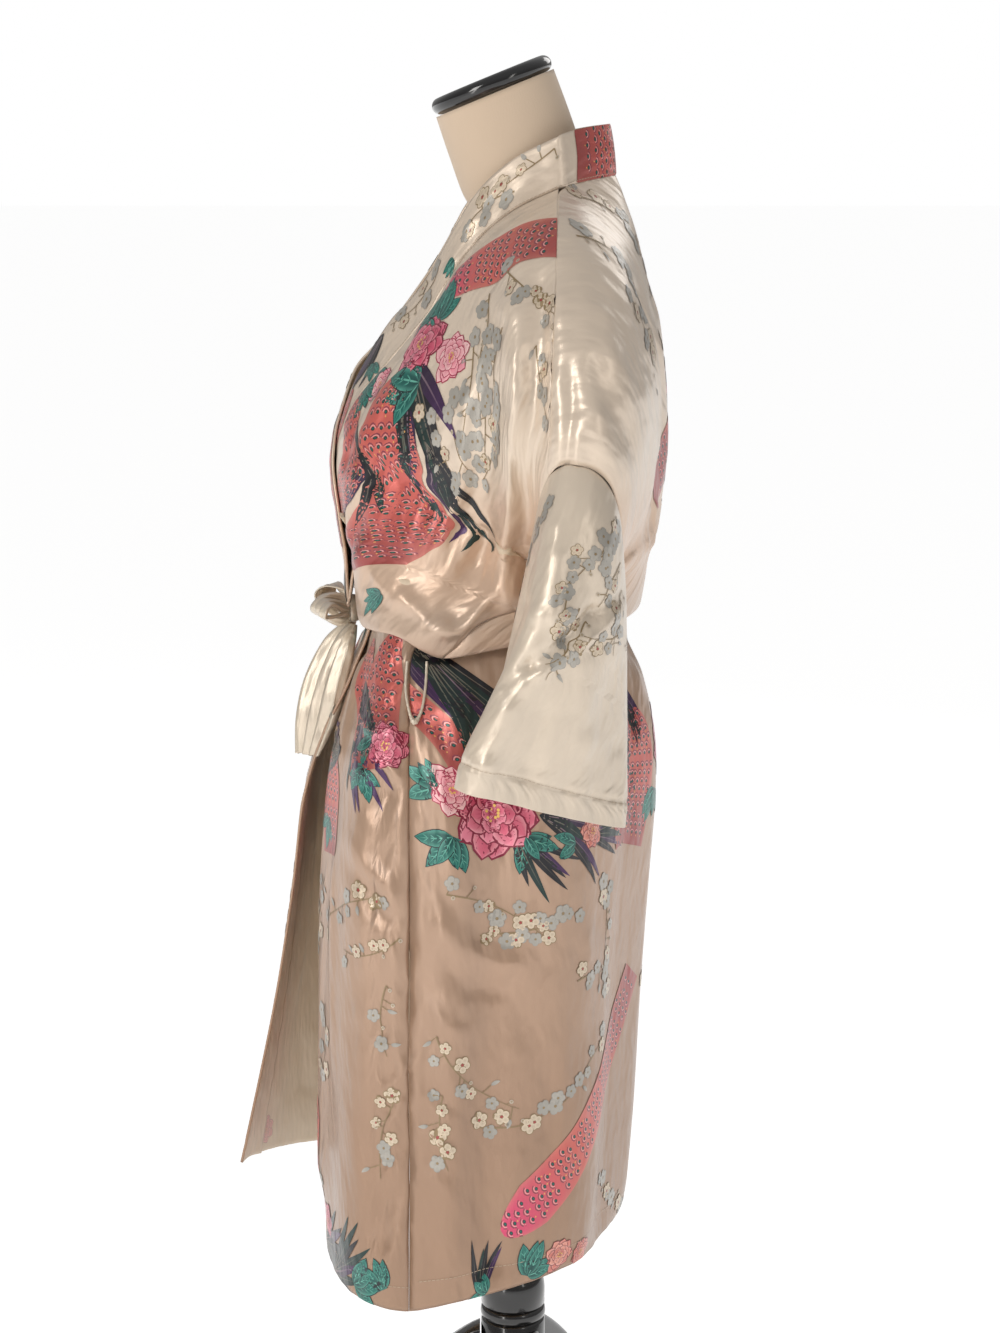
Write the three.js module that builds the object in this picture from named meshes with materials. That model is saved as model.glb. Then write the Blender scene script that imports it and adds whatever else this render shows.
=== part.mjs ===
// A short satin kimono robe, tied at the waist, on a limbless dress form with a turned wooden tripod stand.
// Millimetres, +Z up, floor at z = 0. The robe's front faces -Y and the wearer's left is +X.
// Every cloth piece is a thin wall made from its cut: a grid of points on its right side, and a second one inside.

import * as THREE from "three";
import { mergeVertices } from "three/addons/utils/BufferGeometryUtils.js";

// Driving dimensions of the cloth
const wall = 1.5;
const seamGap = 0.3;
const neckbandWidth = 40;
const beltWidth = 26;
const beltThick = 2.4;
const beltMiddle = 879;
const knotMiddle = 861;
const loopCord = 2.6;

// Driving dimensions of the dress form and its stand
const neckCapRadius = 50;
const neckCapThick = 13;
const poleRadius = 11;
const formBottom = 612;
const hubTop = 300;
const hubBottom = 196;
const hubRadius = 27;
const legReach = 262;
const legWidth = 24;
const legCount = 3;
const backReach = 141.4;
const shiftY = (legReach - backReach) / 2;

// A table with named columns: each row becomes an object with those names.
function table(names, rows) {
  const keys = names.split(" ");
  return rows.map((row) => Object.fromEntries(keys.map((key, i) => [key, row[i]])));
}

const clamp = (value, low, high) => Math.min(high, Math.max(low, value));
const mix = (a, b, t) => a + (b - a) * t;

function smooth(from, to, value) {
  const t = clamp((value - from) / (to - from), 0, 1);
  return t * t * (3 - 2 * t);
}

// A smooth curve through one column of a table. v counts the rows from 0.
function along(rows, name, v) {
  const last = rows.length - 1;
  const i = clamp(Math.floor(v), 0, last - 1);
  const t = v - i;
  const [a, b, c, d] = [i - 1, i, i + 1, i + 2].map((k) => rows[clamp(k, 0, last)][name]);
  return b + 0.5 * t * (c - a + t * (2 * a - 5 * b + 4 * c - d + t * (3 * (b - c) + d - a)));
}

const power = (value, exponent) => Math.sign(value) * Math.abs(value) ** exponent;
const radians = THREE.MathUtils.degToRad;

// The sleeve: sections from the armhole to the cuff. turn swings the long axis from sideways (90) to the front (0),
// rise lifts the outer end of the long axis, lean lifts the back.
const sleeveRows = table("x y z long short turn rise lean square", [
  [182, 48, 950, 46, 31, 90, 1.15, -0.25, 0.85],
  [199, 46, 915, 53, 36, 84, 0.9, -0.15, 0.9],
  [208, 41, 868, 58, 39, 70, 0.65, -0.05, 0.95],
  [212, 32, 818, 67, 36, 54, 0.42, 0, 0.95],
  [215, 23, 775, 74, 33, 43, 0.35, -0.06, 0.95],
  [216, 19, 747, 76, 32, 40, 0.32, -0.1, 0.95],
]);

function sleevePoint(side, v, degrees) {
  const at = (name) => along(sleeveRows, name, v);
  const turn = radians(at("turn"));
  const far = at("long") * power(Math.cos(radians(degrees)), at("square"));
  const near = at("short") * power(Math.sin(radians(degrees)), at("square"));
  return new THREE.Vector3(
    side * (at("x") + far * Math.sin(turn) + near * Math.cos(turn)),
    at("y") - far * Math.cos(turn) + near * Math.sin(turn),
    at("z") + far * at("rise") + near * at("lean"),
  );
}

// The body: one row for each level from the shoulder line to the hem, as the side seam (or the armhole's angles),
// the centre back and the centre front. neck is how far the back neck is hollowed out behind the shoulder line.
// belly rounds a row out beyond its side point. fallF and fallB shape how a row drops towards the side, and
// dip is how far the bloused front hangs down over the belt beside the hip.
const bodyRows = table("armF armB sideX sideY sideZ backY backZ neck frontY frontZ bellyF bellyB fallF fallB dip", [
  [-50, -50, 0, 0, 0, 34, 1206, 46, 34, 1206, 0, 0, 2, 2, 0],
  [-66, -20, 0, 0, 0, 62, 1188, 25, -4, 1188, 6, 0, 2, 2, 0],
  [-84, 15, 0, 0, 0, 87, 1160, 10, -38, 1160, 14, 0, 2, 2, 0],
  [-104, 52, 0, 0, 0, 104, 1115, 3, -70, 1115, 20, 0, 2, 2, 0],
  [-126, 90, 0, 0, 0, 115, 1060, 0, -102, 1073, 22, 6, 2, 2, 0],
  [-152, 135, 0, 0, 0, 117, 990, 0, -131, 1030, 20, 5, 2, 2, 0],
  [-180, 180, 136, 48, 897, 111, 928, 0, -142, 985, 20, 4, 2, 2, 0],
  [0, 0, 139, 12, 885, 107, 905, 0, -138, 945, 13, 6, 1.6, 2, 2],
  [0, 0, 142, -24, 873, 105, 886, 0, -134, 924, 10, 8, 1.3, 2, 10],
  [0, 0, 142, -50, 849, 102, 868, 0, -130, 906, 8, 8, 1.2, 3, 26],
  [0, 0, 138, -56, 849, 96, 868, 0, -125, 903.5, 8, 8, 1.2, 3, 26],
  [0, 0, 133, -62, 898, 91, 899, 0, -120.5, 902.5, 8, 8, 1.2, 2, 4],
  [0, 0, 127, -66, 906, 85, 907, 0, -116, 902, 8, 8, 1.2, 2, 0],
  [0, 0, 121, -70, 899, 80, 900, 0, -112, 898, 8, 8, 1.2, 2, 0],
  [0, 0, 121, -71, 862, 80, 862, 0, -112, 862, 8, 8, 1.2, 2, 0],
  [0, 0, 129, -79, 842, 86, 842, 0, -116, 842, 6, 8, 1.2, 2, 0],
  [0, 0, 148, -80, 806, 97, 806, 0, -127, 806, 6, 10, 1.2, 2, 0],
  [0, 0, 165, -80, 765, 106, 765, 0, -139, 765, 6, 12, 1.2, 2, 0],
  [0, 0, 176, -80, 712, 108, 712, 0, -147, 712, 6, 12, 1.2, 2, 0],
  [0, 0, 181, -80, 640, 103, 640, 0, -153, 640, 6, 12, 1.2, 2, 0],
  [0, 0, 184, -81, 550, 97, 550, 0, -155, 550, 6, 12, 1.2, 2, 0],
  [0, 0, 187, -81, 450, 92, 450, 0, -156, 450, 6, 12, 1.2, 2, 0],
  [0, 0, 189, -82, 336, 85, 362, 0, -156, 352, 6, 12, 1.2, 3.5, 0],
]);
const hemRow = bodyRows.length - 1;
const underarm = 6;
const underarmPoint = sleevePoint(1, 0, 180);
for (const row of bodyRows.slice(0, underarm)) {
  [row.sideX, row.sideY, row.sideZ] = underarmPoint.toArray();
}
const sectionSquare = 0.84;

// The blousing starts at one row and is tucked behind the belt at another. Between them the left front lies flat
// where the right one covers it.
const blouseRow = 7;
const tuckedRow = 13;
const coveredAngle = 42;
const fullyCoveredAngle = 26;

// The fronts' seam with the neckband, as its distance from the centre on its own side (left and right),
// how much the band stands up there, how far the right front swings forward and up at its edge, and how far it
// laps outside the left one.
const edgeRows = table("left right stand swing lift lap", [
  [65, 65, 1, 0, 0, 0],
  [66, 66, 0.9, 0, 0, 0],
  [71, 71, 0.72, 0, 0, 0],
  [75, 75, 0.5, 0, 0, 2],
  [63, 63, 0.3, 0, 0, 4],
  [44, 44, 0.12, 0, 0, 6],
  [22, 22, 0, 0, 0, 7],
  [2, 2, 0, 0, 0, 7],
  [-10, -8, 0, 0, 0, 6],
  [-14, -12, 0, 0, 0, 6],
  [-15, -13, 0, 0, 0, 6],
  [-16, -14, 0, 0, 0, 6],
  [-16, -14, 0, 0, 0, 5],
  [-17, -14, 0, 0, 0, 4.5],
  [-18, -14, 0, 0, 0, 4.5],
  [-19, -13, 0, 0, 0, 5],
  [-24, -10, 0, 2, 0, 6],
  [-28, -4, 0, 8, 0, 7],
  [-28, 4, 0, 14, 0, 8],
  [-24, 14, 0, 16, 0, 9],
  [-18, 24, 0, 26, 4, 9],
  [-12, 34, 0, 40, 14, 9],
  [-8, 44, 0, 54, 30, 9],
]);

// The largest folds. face says from where a fold is seen: left and right give y and z of its two ends,
// front and back give x and z. height is outwards from the cloth, negative in a trough.
const foldRows = table("face a z b low height width", [
  ["left", 16, 1110, -6, 900, 9, 15],
  ["left", 8, 1080, 14, 960, -6, 11],
  ["left", -8, 890, -58, 866, 7, 16],
  ["left", 72, 1130, 96, 1010, -7, 18],
  ["left", -92, 1080, -60, 960, -4, 22],
  ["left", -150, 745, -96, 790, 7, 12],
  ["left", -146, 712, -100, 745, -6, 13],
  ["left", -100, 700, -96, 430, -3, 14],
  ["left", 20, 700, 44, 380, 5, 26],
  ["left", -40, 640, -30, 380, -4, 24],
  ["right", 16, 1105, -2, 905, 8, 16],
  ["right", 70, 1120, 92, 1000, -6, 18],
  ["right", -96, 1070, -66, 960, -5, 20],
  ["right", -146, 748, -98, 786, 6, 13],
  ["right", 16, 690, 38, 380, 5, 28],
  ["right", -46, 650, -38, 390, -5, 22],
  ["front", 96, 1120, 84, 930, 5, 20],
  ["front", -92, 1115, -80, 935, 5, 20],
  ["front", 70, 800, 82, 420, 6, 22],
  ["front", -100, 800, -112, 420, 6, 22],
  ["back", -90, 1120, -70, 940, -6, 20],
  ["back", 84, 1115, 66, 945, -6, 20],
  ["back", 0, 1090, 4, 930, 5, 26],
  ["back", -96, 800, -112, 380, 8, 24],
  ["back", -34, 810, -42, 380, -6, 22],
  ["back", 30, 805, 36, 380, 8, 24],
  ["back", 92, 800, 104, 380, -6, 24],
]);

function lineDistance(across, z, fold) {
  const run = fold.b - fold.a;
  const drop = fold.low - fold.z;
  const t = clamp(((across - fold.a) * run + (z - fold.z) * drop) / (run * run + drop * drop), 0, 1);
  return Math.hypot(across - fold.a - run * t, z - fold.z - drop * t);
}

// How far the folds move a point of the cloth, by where it lies, its level and which way it faces. Folds above
// the belt stay on the bodice and those below it on the skirt, and the cloth tucked behind the belt is smooth.
const tuckStart = 9.6;
const tuckEnd = 15;

function foldHeight(point, out, level) {
  let height = 0;
  if (level > tuckStart && level < tuckEnd) return height;
  for (const fold of foldRows) {
    if (fold.z > beltMiddle !== level < tuckStart) continue;
    const sideways = fold.face === "left" || fold.face === "right";
    const facing = { left: out.x, right: -out.x, front: -out.y, back: out.y }[fold.face];
    if (facing <= 0) continue;
    const distance = lineDistance(sideways ? point.y : point.x, point.z, fold);
    height += fold.height * facing * facing * Math.exp(-((distance / fold.width) ** 2));
  }
  return height;
}

// A row's point at an angle from the centre (0) to the side seam (90). half is "F" for a front and "B" for the back.
// unfolded takes the blousing out of it, from 0 to 1.
const neckHollowReach = 84;
const dipFrom = 75;
const dipFull = 20;
function bodyPoint(half, v, degrees, unfolded = 0) {
  const at = (name) => along(bodyRows, name, v);
  const angle = Math.abs(degrees);
  const sign = degrees < 0 ? -1 : 1;
  const side = v < underarm
    ? sleevePoint(1, 0, at("arm" + half))
    : new THREE.Vector3(at("sideX"), at("sideY"), at("sideZ"));
  const centreY = half === "F" ? at("frontY") : at("backY");
  const centreZ = half === "F" ? at("frontZ") : at("backZ");
  const square = mix(1, sectionSquare, smooth(2, 8, v));
  const x = side.x * Math.sin(radians(angle)) ** square + at("belly" + half) * Math.sin(radians(2 * angle));
  const neckHollow = half === "B" ? at("neck") * (0.5 + 0.5 * Math.cos(Math.PI * clamp(x / neckHollowReach, 0, 1))) : 0;
  const y = side.y + (centreY - side.y) * Math.cos(radians(angle)) ** square + neckHollow;
  const dip = half === "F" ? at("dip") * smooth(dipFrom, dipFull, angle) : 0;
  const z = centreZ + (side.z - centreZ) * (angle / 90) ** at("fall" + half) - dip;
  const share = clamp((v - blouseRow) / (tuckedRow - blouseRow), 0, 1);
  const flat = unfolded * (share > 0 && share < 1 ? 1 : 0);
  const flatY = mix(bodyRows[blouseRow].frontY, bodyRows[tuckedRow].frontY, share);
  const flatZ = mix(bodyRows[blouseRow].frontZ, bodyRows[tuckedRow].frontZ, share);
  return new THREE.Vector3(sign * x, mix(y, y - centreY + flatY, flat), mix(z, flatZ, flat));
}

// The angle at which a front's row is a given distance from the centre, found by halving.
function edgeAngle(v, distance) {
  let low = -60;
  let high = 60;
  for (let i = 0; i < 24; i++) {
    const middle = (low + high) / 2;
    if (bodyPoint("F", v, middle).x < distance) low = middle;
    else high = middle;
  }
  return (low + high) / 2;
}

// A front's point: u runs from its seam with the neckband (0) to the side seam (1). side is 1 for the left front.
function frontPoint(side, v, u) {
  const edge = edgeAngle(v, along(edgeRows, side > 0 ? "left" : "right", v));
  const degrees = mix(edge, 90, u);
  const unfolded = side > 0 ? smooth(coveredAngle, fullyCoveredAngle, degrees) : 0;
  const point = bodyPoint("F", v, degrees, unfolded);
  if (side < 0) {
    point.y -= along(edgeRows, "lap", v) * smooth(1, 0.3, u) + along(edgeRows, "swing", v) * (1 - u) ** 1.5;
    point.z += along(edgeRows, "lift", v) * (1 - u) ** 2;
  }
  point.x *= side;
  return point;
}

const backPoint = (v, u) => bodyPoint("B", v, mix(-90, 90, u));

// A grid of points with the outward direction at each one. around joins the last column to the first.
function grid(pointAt, rows, columns, around = false) {
  const points = rows.map((v) => columns.map((u) => pointAt(v, u)));
  const outward = points.map((line, j) =>
    line.map((_, i) => {
      const n = columns.length;
      const before = around ? (i + n - 1) % n : Math.max(i - 1, 0);
      const after = around ? (i + 1) % n : Math.min(i + 1, n - 1);
      const across = points[j][after].clone().sub(points[j][before]);
      const down = points[Math.min(j + 1, rows.length - 1)][i].clone().sub(points[Math.max(j - 1, 0)][i]);
      return down.cross(across).normalize();
    }),
  );
  return { points, outward, around };
}

// Raises the folds into a grid.
function withFolds(cloth, levels) {
  cloth.points.forEach((line, j) =>
    line.forEach((point, i) => {
      const out = cloth.outward[j][i];
      point.addScaledVector(out, foldHeight(point, out, levels[j]));
    }),
  );
  return cloth;
}

// A closed wall: the grid outside, the same grid moved inwards by the thickness, and its rims.
function wallGeometry({ points, outward, around }, thick = wall) {
  const rows = points.length;
  const columns = points[0].length;
  const position = [];
  const index = [];
  for (const depth of [0, thick]) {
    points.forEach((line, j) =>
      line.forEach((point, i) => {
        position.push(...point.clone().addScaledVector(outward[j][i], -depth).toArray());
      }),
    );
  }
  const at = (layer, j, i) => layer * rows * columns + j * columns + (i % columns);
  const quad = (a, b, c, d) => index.push(a, b, c, a, c, d);
  const spans = around ? columns : columns - 1;
  for (let j = 0; j < rows - 1; j++) {
    for (let i = 0; i < spans; i++) {
      quad(at(0, j, i), at(0, j + 1, i), at(0, j + 1, i + 1), at(0, j, i + 1));
      quad(at(1, j, i), at(1, j, i + 1), at(1, j + 1, i + 1), at(1, j + 1, i));
    }
  }
  for (let i = 0; i < spans; i++) {
    quad(at(0, 0, i), at(0, 0, i + 1), at(1, 0, i + 1), at(1, 0, i));
    quad(at(0, rows - 1, i), at(1, rows - 1, i), at(1, rows - 1, i + 1), at(0, rows - 1, i + 1));
  }
  if (!around) {
    for (let j = 0; j < rows - 1; j++) {
      quad(at(0, j, 0), at(1, j, 0), at(1, j + 1, 0), at(0, j + 1, 0));
      quad(at(0, j, columns - 1), at(0, j + 1, columns - 1), at(1, j + 1, columns - 1), at(1, j, columns - 1));
    }
  }
  const geometry = new THREE.BufferGeometry();
  geometry.setAttribute("position", new THREE.Float32BufferAttribute(position, 3));
  geometry.setIndex(index);
  geometry.computeVertexNormals();
  return geometry;
}

// A closed body through rings of points, each ring a list of vectors, with a flat end at both ends.
function ringsGeometry(rings) {
  const sides = rings[0].length;
  const position = rings.flat().flatMap((point) => point.toArray());
  const index = [];
  for (let j = 0; j < rings.length - 1; j++) {
    for (let i = 0; i < sides; i++) {
      const next = (i + 1) % sides;
      index.push(j * sides + i, j * sides + next, (j + 1) * sides + next);
      index.push(j * sides + i, (j + 1) * sides + next, (j + 1) * sides + i);
    }
  }
  const top = (rings.length - 1) * sides;
  for (let i = 1; i < sides - 1; i++) {
    index.push(0, i + 1, i);
    index.push(top, top + i, top + i + 1);
  }
  const geometry = new THREE.BufferGeometry();
  geometry.setAttribute("position", new THREE.Float32BufferAttribute(position, 3));
  geometry.setIndex(index);
  geometry.computeVertexNormals();
  return geometry;
}

const steps = (from, to, count) => Array.from({ length: count + 1 }, (_, i) => mix(from, to, i / count));

// The levels at which the body's panels are cut into rows: two to a table row, but one below the waist.
const bodyLevels = [...steps(0, 6, 11), ...steps(6, 16, 19).slice(1), ...steps(16, hemRow, 8).slice(1)];
const frontColumns = 12;
const backColumns = 22;

// How much of a row's width a panel leaves free at a side seam, more round the folds of the blousing, and how far
// below the shoulder line the back starts, more at its ends.
const seamShare = (v) => mix(0.0006, 0.0032, smooth(4, 5.5, v) * smooth(11.5, 10.5, v));
const shoulderShare = 0.02;
const shoulderStart = (u) => shoulderShare + 0.035 * (2 * u - 1) ** 8;

// Both walls of a seam keep one mitre: the outward directions of two edges are made the same.
function shareOutward(first, second, pairs) {
  for (const [[j, i], [l, k]] of pairs) {
    const common = first.outward[j][i].clone().add(second.outward[l][k]).normalize();
    first.outward[j][i].copy(common);
    second.outward[l][k].copy(common);
  }
}

// The shoulder line is the roof's ridge, so its outward direction has no front or back.
function ridgeOutward(cloth) {
  cloth.outward[0].forEach((out) => out.setY(0).normalize());
}

const frontCloth = (side) => (v, u) => frontPoint(side, v, u * (1 - seamShare(v)));
const backCloth = (v, u) => backPoint(Math.max(v, shoulderStart(u)), mix(seamShare(v), 1 - seamShare(v), u));
const leftFront = grid(frontCloth(1), bodyLevels, steps(0, 1, frontColumns));
const rightFront = grid(frontCloth(-1), bodyLevels, steps(1, 0, frontColumns));
const back = grid(backCloth, bodyLevels, steps(1, 0, backColumns));
const seamStart = bodyLevels.findIndex((level) => level >= underarm);
const seamLevels = bodyLevels.map((_, j) => j).slice(seamStart);
shareOutward(leftFront, back, seamLevels.map((j) => [[j, frontColumns], [j, 0]]));
shareOutward(rightFront, back, seamLevels.map((j) => [[j, 0], [j, backColumns]]));
[leftFront, rightFront, back].forEach((cloth) => withFolds(cloth, bodyLevels));
[leftFront, rightFront, back].forEach(ridgeOutward);

// The sleeve starts just below its seam, and lower still at the underarm, where three panels meet.
const sleeveStart = 0.04;
const underarmStart = 0.3;
function sleeve(side) {
  const rows = [0, ...steps(0.4, sleeveRows.length - 1, 12)];
  const turns = steps(0, 360, 24).slice(0, -1);
  return grid((v, degrees) => {
    const start = sleeveStart + underarmStart * (0.5 - 0.5 * Math.cos(radians(degrees))) ** 2;
    return sleevePoint(side, Math.max(v, start), -side * degrees);
  }, rows, turns, true);
}

// The neckband follows the panels' neck edge from the hem of one front to the centre back. It stands up round the
// neck and lies in the front's own surface from the chest down.
const standingAbove = 4;
const lyingBelow = 6;
const neckSteps = 6;
const neckLean = 0.12;
function neckband(side) {
  const seam = [];
  const front = side > 0 ? leftFront : rightFront;
  const edgeColumn = side > 0 ? 0 : frontColumns;
  const inner = side > 0 ? 1 : frontColumns - 1;
  for (let j = bodyLevels.length - 1; j >= 0; j--) {
    const point = front.points[j][edgeColumn];
    const into = point.clone().sub(front.points[j][inner]).normalize();
    const stand = along(edgeRows, "stand", bodyLevels[j]);
    const direction = into.multiplyScalar(1 - stand).add(new THREE.Vector3(-neckLean * side, 0, stand)).normalize();
    const share = frontPoint(side, bodyLevels[j], 0).distanceTo(frontPoint(side, bodyLevels[j], 0.1)) * 10;
    seam.push({ point, direction, level: bodyLevels[j], share });
  }
  for (let i = 1; i <= neckSteps; i++) {
    const x = mix(edgeRows[0].left, 0.15, i / neckSteps);
    const degrees = (Math.asin(x / sleevePoint(1, 0, bodyRows[0].armB).x) * 180) / Math.PI;
    const point = bodyPoint("B", shoulderShare, degrees);
    point.x *= side;
    const direction = new THREE.Vector3((-side * neckLean * x) / edgeRows[0].left, -neckLean, 1).normalize();
    seam.push({ point, direction, level: 0 });
  }
  const widths = [seamGap, neckbandWidth / 2, neckbandWidth];
  const across = side > 0 ? widths : widths.toReversed();
  const columns = across.map((_, i) => i);
  return grid((j, i) => {
    const { point, direction, level, share } = seam[j];
    const standing = point.clone().addScaledVector(direction, across[i]);
    if (level < standingAbove) return standing;
    const lying = frontPoint(side, level, -across[i] / share);
    lying.add(point).sub(frontPoint(side, level, 0));
    return standing.lerp(lying, smooth(standingAbove, lyingBelow, level));
  }, seam.map((_, j) => seam.length - 1 - j), columns);
}

// The belt: a flat band round the waist, outside the fronts and inside the bloused cloth. At the front it lies
// further out, over the right front's lap.
const waistLevel = 13.5;
const waistHalfWidth = 120;
const waistHalfDepth = 100;
const waistCentreY = -18;
function belt() {
  const turns = steps(0, 360, 40).slice(0, -1);
  const rows = [1, 0, -1];
  const clear = beltThick + 1.6;
  return grid((level, degrees) => {
    const half = degrees < 90 || degrees > 270 ? "F" : "B";
    const angle = half === "F" ? (degrees > 180 ? degrees - 360 : degrees) : 180 - degrees;
    const point = bodyPoint(half, waistLevel, angle);
    const outX = point.x / waistHalfWidth;
    const outY = (point.y - waistCentreY) / waistHalfDepth;
    const length = Math.hypot(outX, outY);
    const overLap = angle < 25 ? smooth(-88, -30, angle) : smooth(44, 25, angle);
    const lap = half === "F" ? (edgeRows[tuckedRow].lap + 1) * overLap : 0;
    point.x += (outX / length) * clear;
    point.y += (outY / length) * clear - lap;
    point.z = beltMiddle + (level * beltWidth) / 2;
    return point;
  }, rows, turns, true);
}

// A strap that follows a path: named rows of its middle line, its half width vector and its folds.
const strapThick = 1.6;
function strapGeometry(rows, count) {
  const across = steps(-1, 1, 6);
  const at = (v, name) => along(rows, name, v);
  return wallGeometry(grid((v, u) => new THREE.Vector3(
    at(v, "x") + u * at(v, "wideX"),
    at(v, "y") + u * at(v, "wideY") + at(v, "pleat") * Math.cos(3 * Math.PI * u),
    at(v, "z") + u * at(v, "wideZ"),
  ), steps(0, rows.length - 1, count), across), strapThick);
}

// The bow's straps, as their middle line, half width and pleat depth.
const bowLoopRows = table("x y z wideX wideY wideZ pleat", [
  [18.4, -133, 857, 1, 0, 6, 0.6],
  [26, -138, 856, 8, 2, 7, 1.5],
  [40, -147, 860, 17, 5, 3, 2],
  [52, -153, 864, 20, 7, 0, 1.5],
  [54, -152, 870, 20, 7, 0, 1.5],
  [43, -147, 873, 17, 5, -2, 1.5],
  [27, -139, 869, 9, 2, -6, 1],
  [18.4, -133, 866, 1, 0, -6, 0.6],
]);
const leftTailRows = table("x y z wideX wideY wideZ pleat", [
  [13, -133, 850, 8, 2, 0, 1.5],
  [20, -143, 836, 13, 5, 0, 3.5],
  [27, -157, 806, 17, 7, 0, 4.5],
  [31, -167, 775, 16, 7, 0, 4],
  [33, -172, 746, 12, 5, 0, 2],
]);
const rightTailRows = table("x y z wideX wideY wideZ pleat", [
  [-7, -133, 850, 8, -1, 0, 1.5],
  [-15, -143, 834, 13, -3, 0, 3.5],
  [-23, -157, 800, 17, -4, 0, 4.5],
  [-28, -166, 764, 17, -4, 0, 4],
  [-30, -171, 736, 15, -4, 0, 2],
]);

// The other loop, turned over about the knot's middle.
const knotX = 4;
const mirrored = (rows) => rows.map((row) => (
  { ...row, x: 2 * knotX - row.x, wideY: -row.wideY, wideZ: -row.wideZ }
));

// The belt's knot, a rounded lump where the straps cross.
const knotHalf = new THREE.Vector3(15, 10, 11);
const knotY = -130.6;
function knotGeometry() {
  const knot = new THREE.SphereGeometry(1, 14, 8);
  knot.deleteAttribute("uv");
  knot.deleteAttribute("normal");
  const merged = mergeVertices(knot);
  const position = merged.getAttribute("position");
  for (let i = 0; i < position.count; i++) {
    const [x, y, z] = [position.getX(i), position.getY(i), position.getZ(i)];
    const lump = new THREE.Vector3(power(x, 0.8), power(y, 0.8), power(z, 0.8)).multiply(knotHalf);
    position.setXYZ(i, knotX + lump.x, knotY + lump.y, knotMiddle + lump.z);
  }
  merged.computeVertexNormals();
  return merged;
}

// A carrier loop of cord below the blousing at each side seam: two strands and a small knot, as one body.
const carrierPath = table("y z", [
  [-82, 841], [-83, 822], [-80, 806], [-76, 799], [-71, 806], [-68, 822], [-67, 841],
]);
function carrierGeometry(side) {
  const clear = loopCord / 2 + 2.3;
  const middle = carrierPath.map(({ y, z }) => {
    const level = clamp(15 + (838 - z) / 32, 14.9, 17);
    return new THREE.Vector3(side * (bodyPoint("B", level, 88).x + clear), y, z);
  });
  const ring = steps(0, 360, 7).slice(0, -1);
  const curve = new THREE.CatmullRomCurve3(middle);
  const cells = steps(0, 1, 16).map((t) => {
    const centre = curve.getPointAt(t);
    const forward = curve.getTangentAt(t);
    const first = new THREE.Vector3(side, 0, 0).cross(forward).normalize();
    const second = forward.clone().cross(first);
    const knot = 1 + 1.6 * Math.exp(-(((t - 0.5) / 0.09) ** 2));
    return ring.map((degrees) => centre.clone()
      .addScaledVector(first, (knot * loopCord * Math.cos(radians(degrees))) / 2)
      .addScaledVector(second, (knot * loopCord * Math.sin(radians(degrees))) / 2));
  });
  return ringsGeometry(cells);
}

const satin = new THREE.MeshStandardMaterial({ color: 0xd8c7ae, roughness: 0.32, metalness: 0 });
const satinPrint = new THREE.MeshStandardMaterial({ color: 0xcdb69a, roughness: 0.32, metalness: 0 });
const jersey = new THREE.MeshStandardMaterial({ color: 0xddd0bc, roughness: 0.9, metalness: 0 });
const blackGloss = new THREE.MeshStandardMaterial({ color: 0x0c0b0b, roughness: 0.15, metalness: 0 });

const group = new THREE.Group();
group.name = "kimono_robe_on_a_dress_form";
group.position.y = shiftY;

function add(name, geometry, material) {
  const mesh = new THREE.Mesh(geometry, material);
  mesh.name = name;
  group.add(mesh);
  return mesh;
}

add("front_left", wallGeometry(leftFront), satinPrint);
add("front_right", wallGeometry(rightFront), satinPrint);
add("back", wallGeometry(back), satinPrint);
add("sleeve_left", wallGeometry(sleeve(1)), satin);
add("sleeve_right", wallGeometry(sleeve(-1)), satin);
add("neckband_left", wallGeometry(neckband(1)), satinPrint);
add("neckband_right", wallGeometry(neckband(-1)), satinPrint);
add("belt", wallGeometry(belt(), beltThick), satin);

add("bow_knot", knotGeometry(), satin);
add("bow_loop_left", strapGeometry(bowLoopRows, 12), satin);
add("bow_loop_right", strapGeometry(mirrored(bowLoopRows), 12), satin);
add("bow_tail_left", strapGeometry(leftTailRows, 8), satin);
add("bow_tail_right", strapGeometry(rightTailRows, 8), satin);
add("carrier_loop_left", carrierGeometry(1), satin);
add("carrier_loop_right", carrierGeometry(-1), satin);

// The dress form: sections of a general figure, from its flat bottom to the tilted top of the neck.
const formRows = table("z y halfX halfY tilt", [
  [formBottom, -22, 160, 102, 0],
  [680, -22, 164, 106, 0],
  [760, -20, 150, 98, 0],
  [830, -16, 116, 86, 0],
  [872, -14, 103, 80, 0],
  [930, -14, 115, 90, 0],
  [1000, -12, 134, 100, 0],
  [1060, 0, 150, 92, 0],
  [1105, 13, 163, 66, 0],
  [1132, 21, 156, 47, 0],
  [1156, 24, 118, 40, 0],
  [1176, 20, 76, 44, 2],
  [1192, 12, 56, 50, 6],
  [1230, -1, 49, 49, 14],
  [1269, -15, 46, 46, 22],
]);

function formRing(v) {
  const at = (name) => along(formRows, name, v);
  const tilt = Math.tan(radians(at("tilt")));
  return steps(0, 360, 24).slice(0, -1).map((degrees) => {
    const x = at("halfX") * power(Math.cos(radians(degrees)), 0.92);
    const y = at("halfY") * power(Math.sin(radians(degrees)), 0.92);
    return new THREE.Vector3(x, at("y") + y, at("z") + y * tilt);
  });
}

add("dress_form", ringsGeometry(steps(0, formRows.length - 1, 24).map(formRing)), jersey);

function turned(profile, segments = 24) {
  const geometry = new THREE.LatheGeometry(profile.map(([r, z]) => new THREE.Vector2(r, z)), segments);
  geometry.rotateX(Math.PI / 2);
  return geometry;
}

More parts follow.
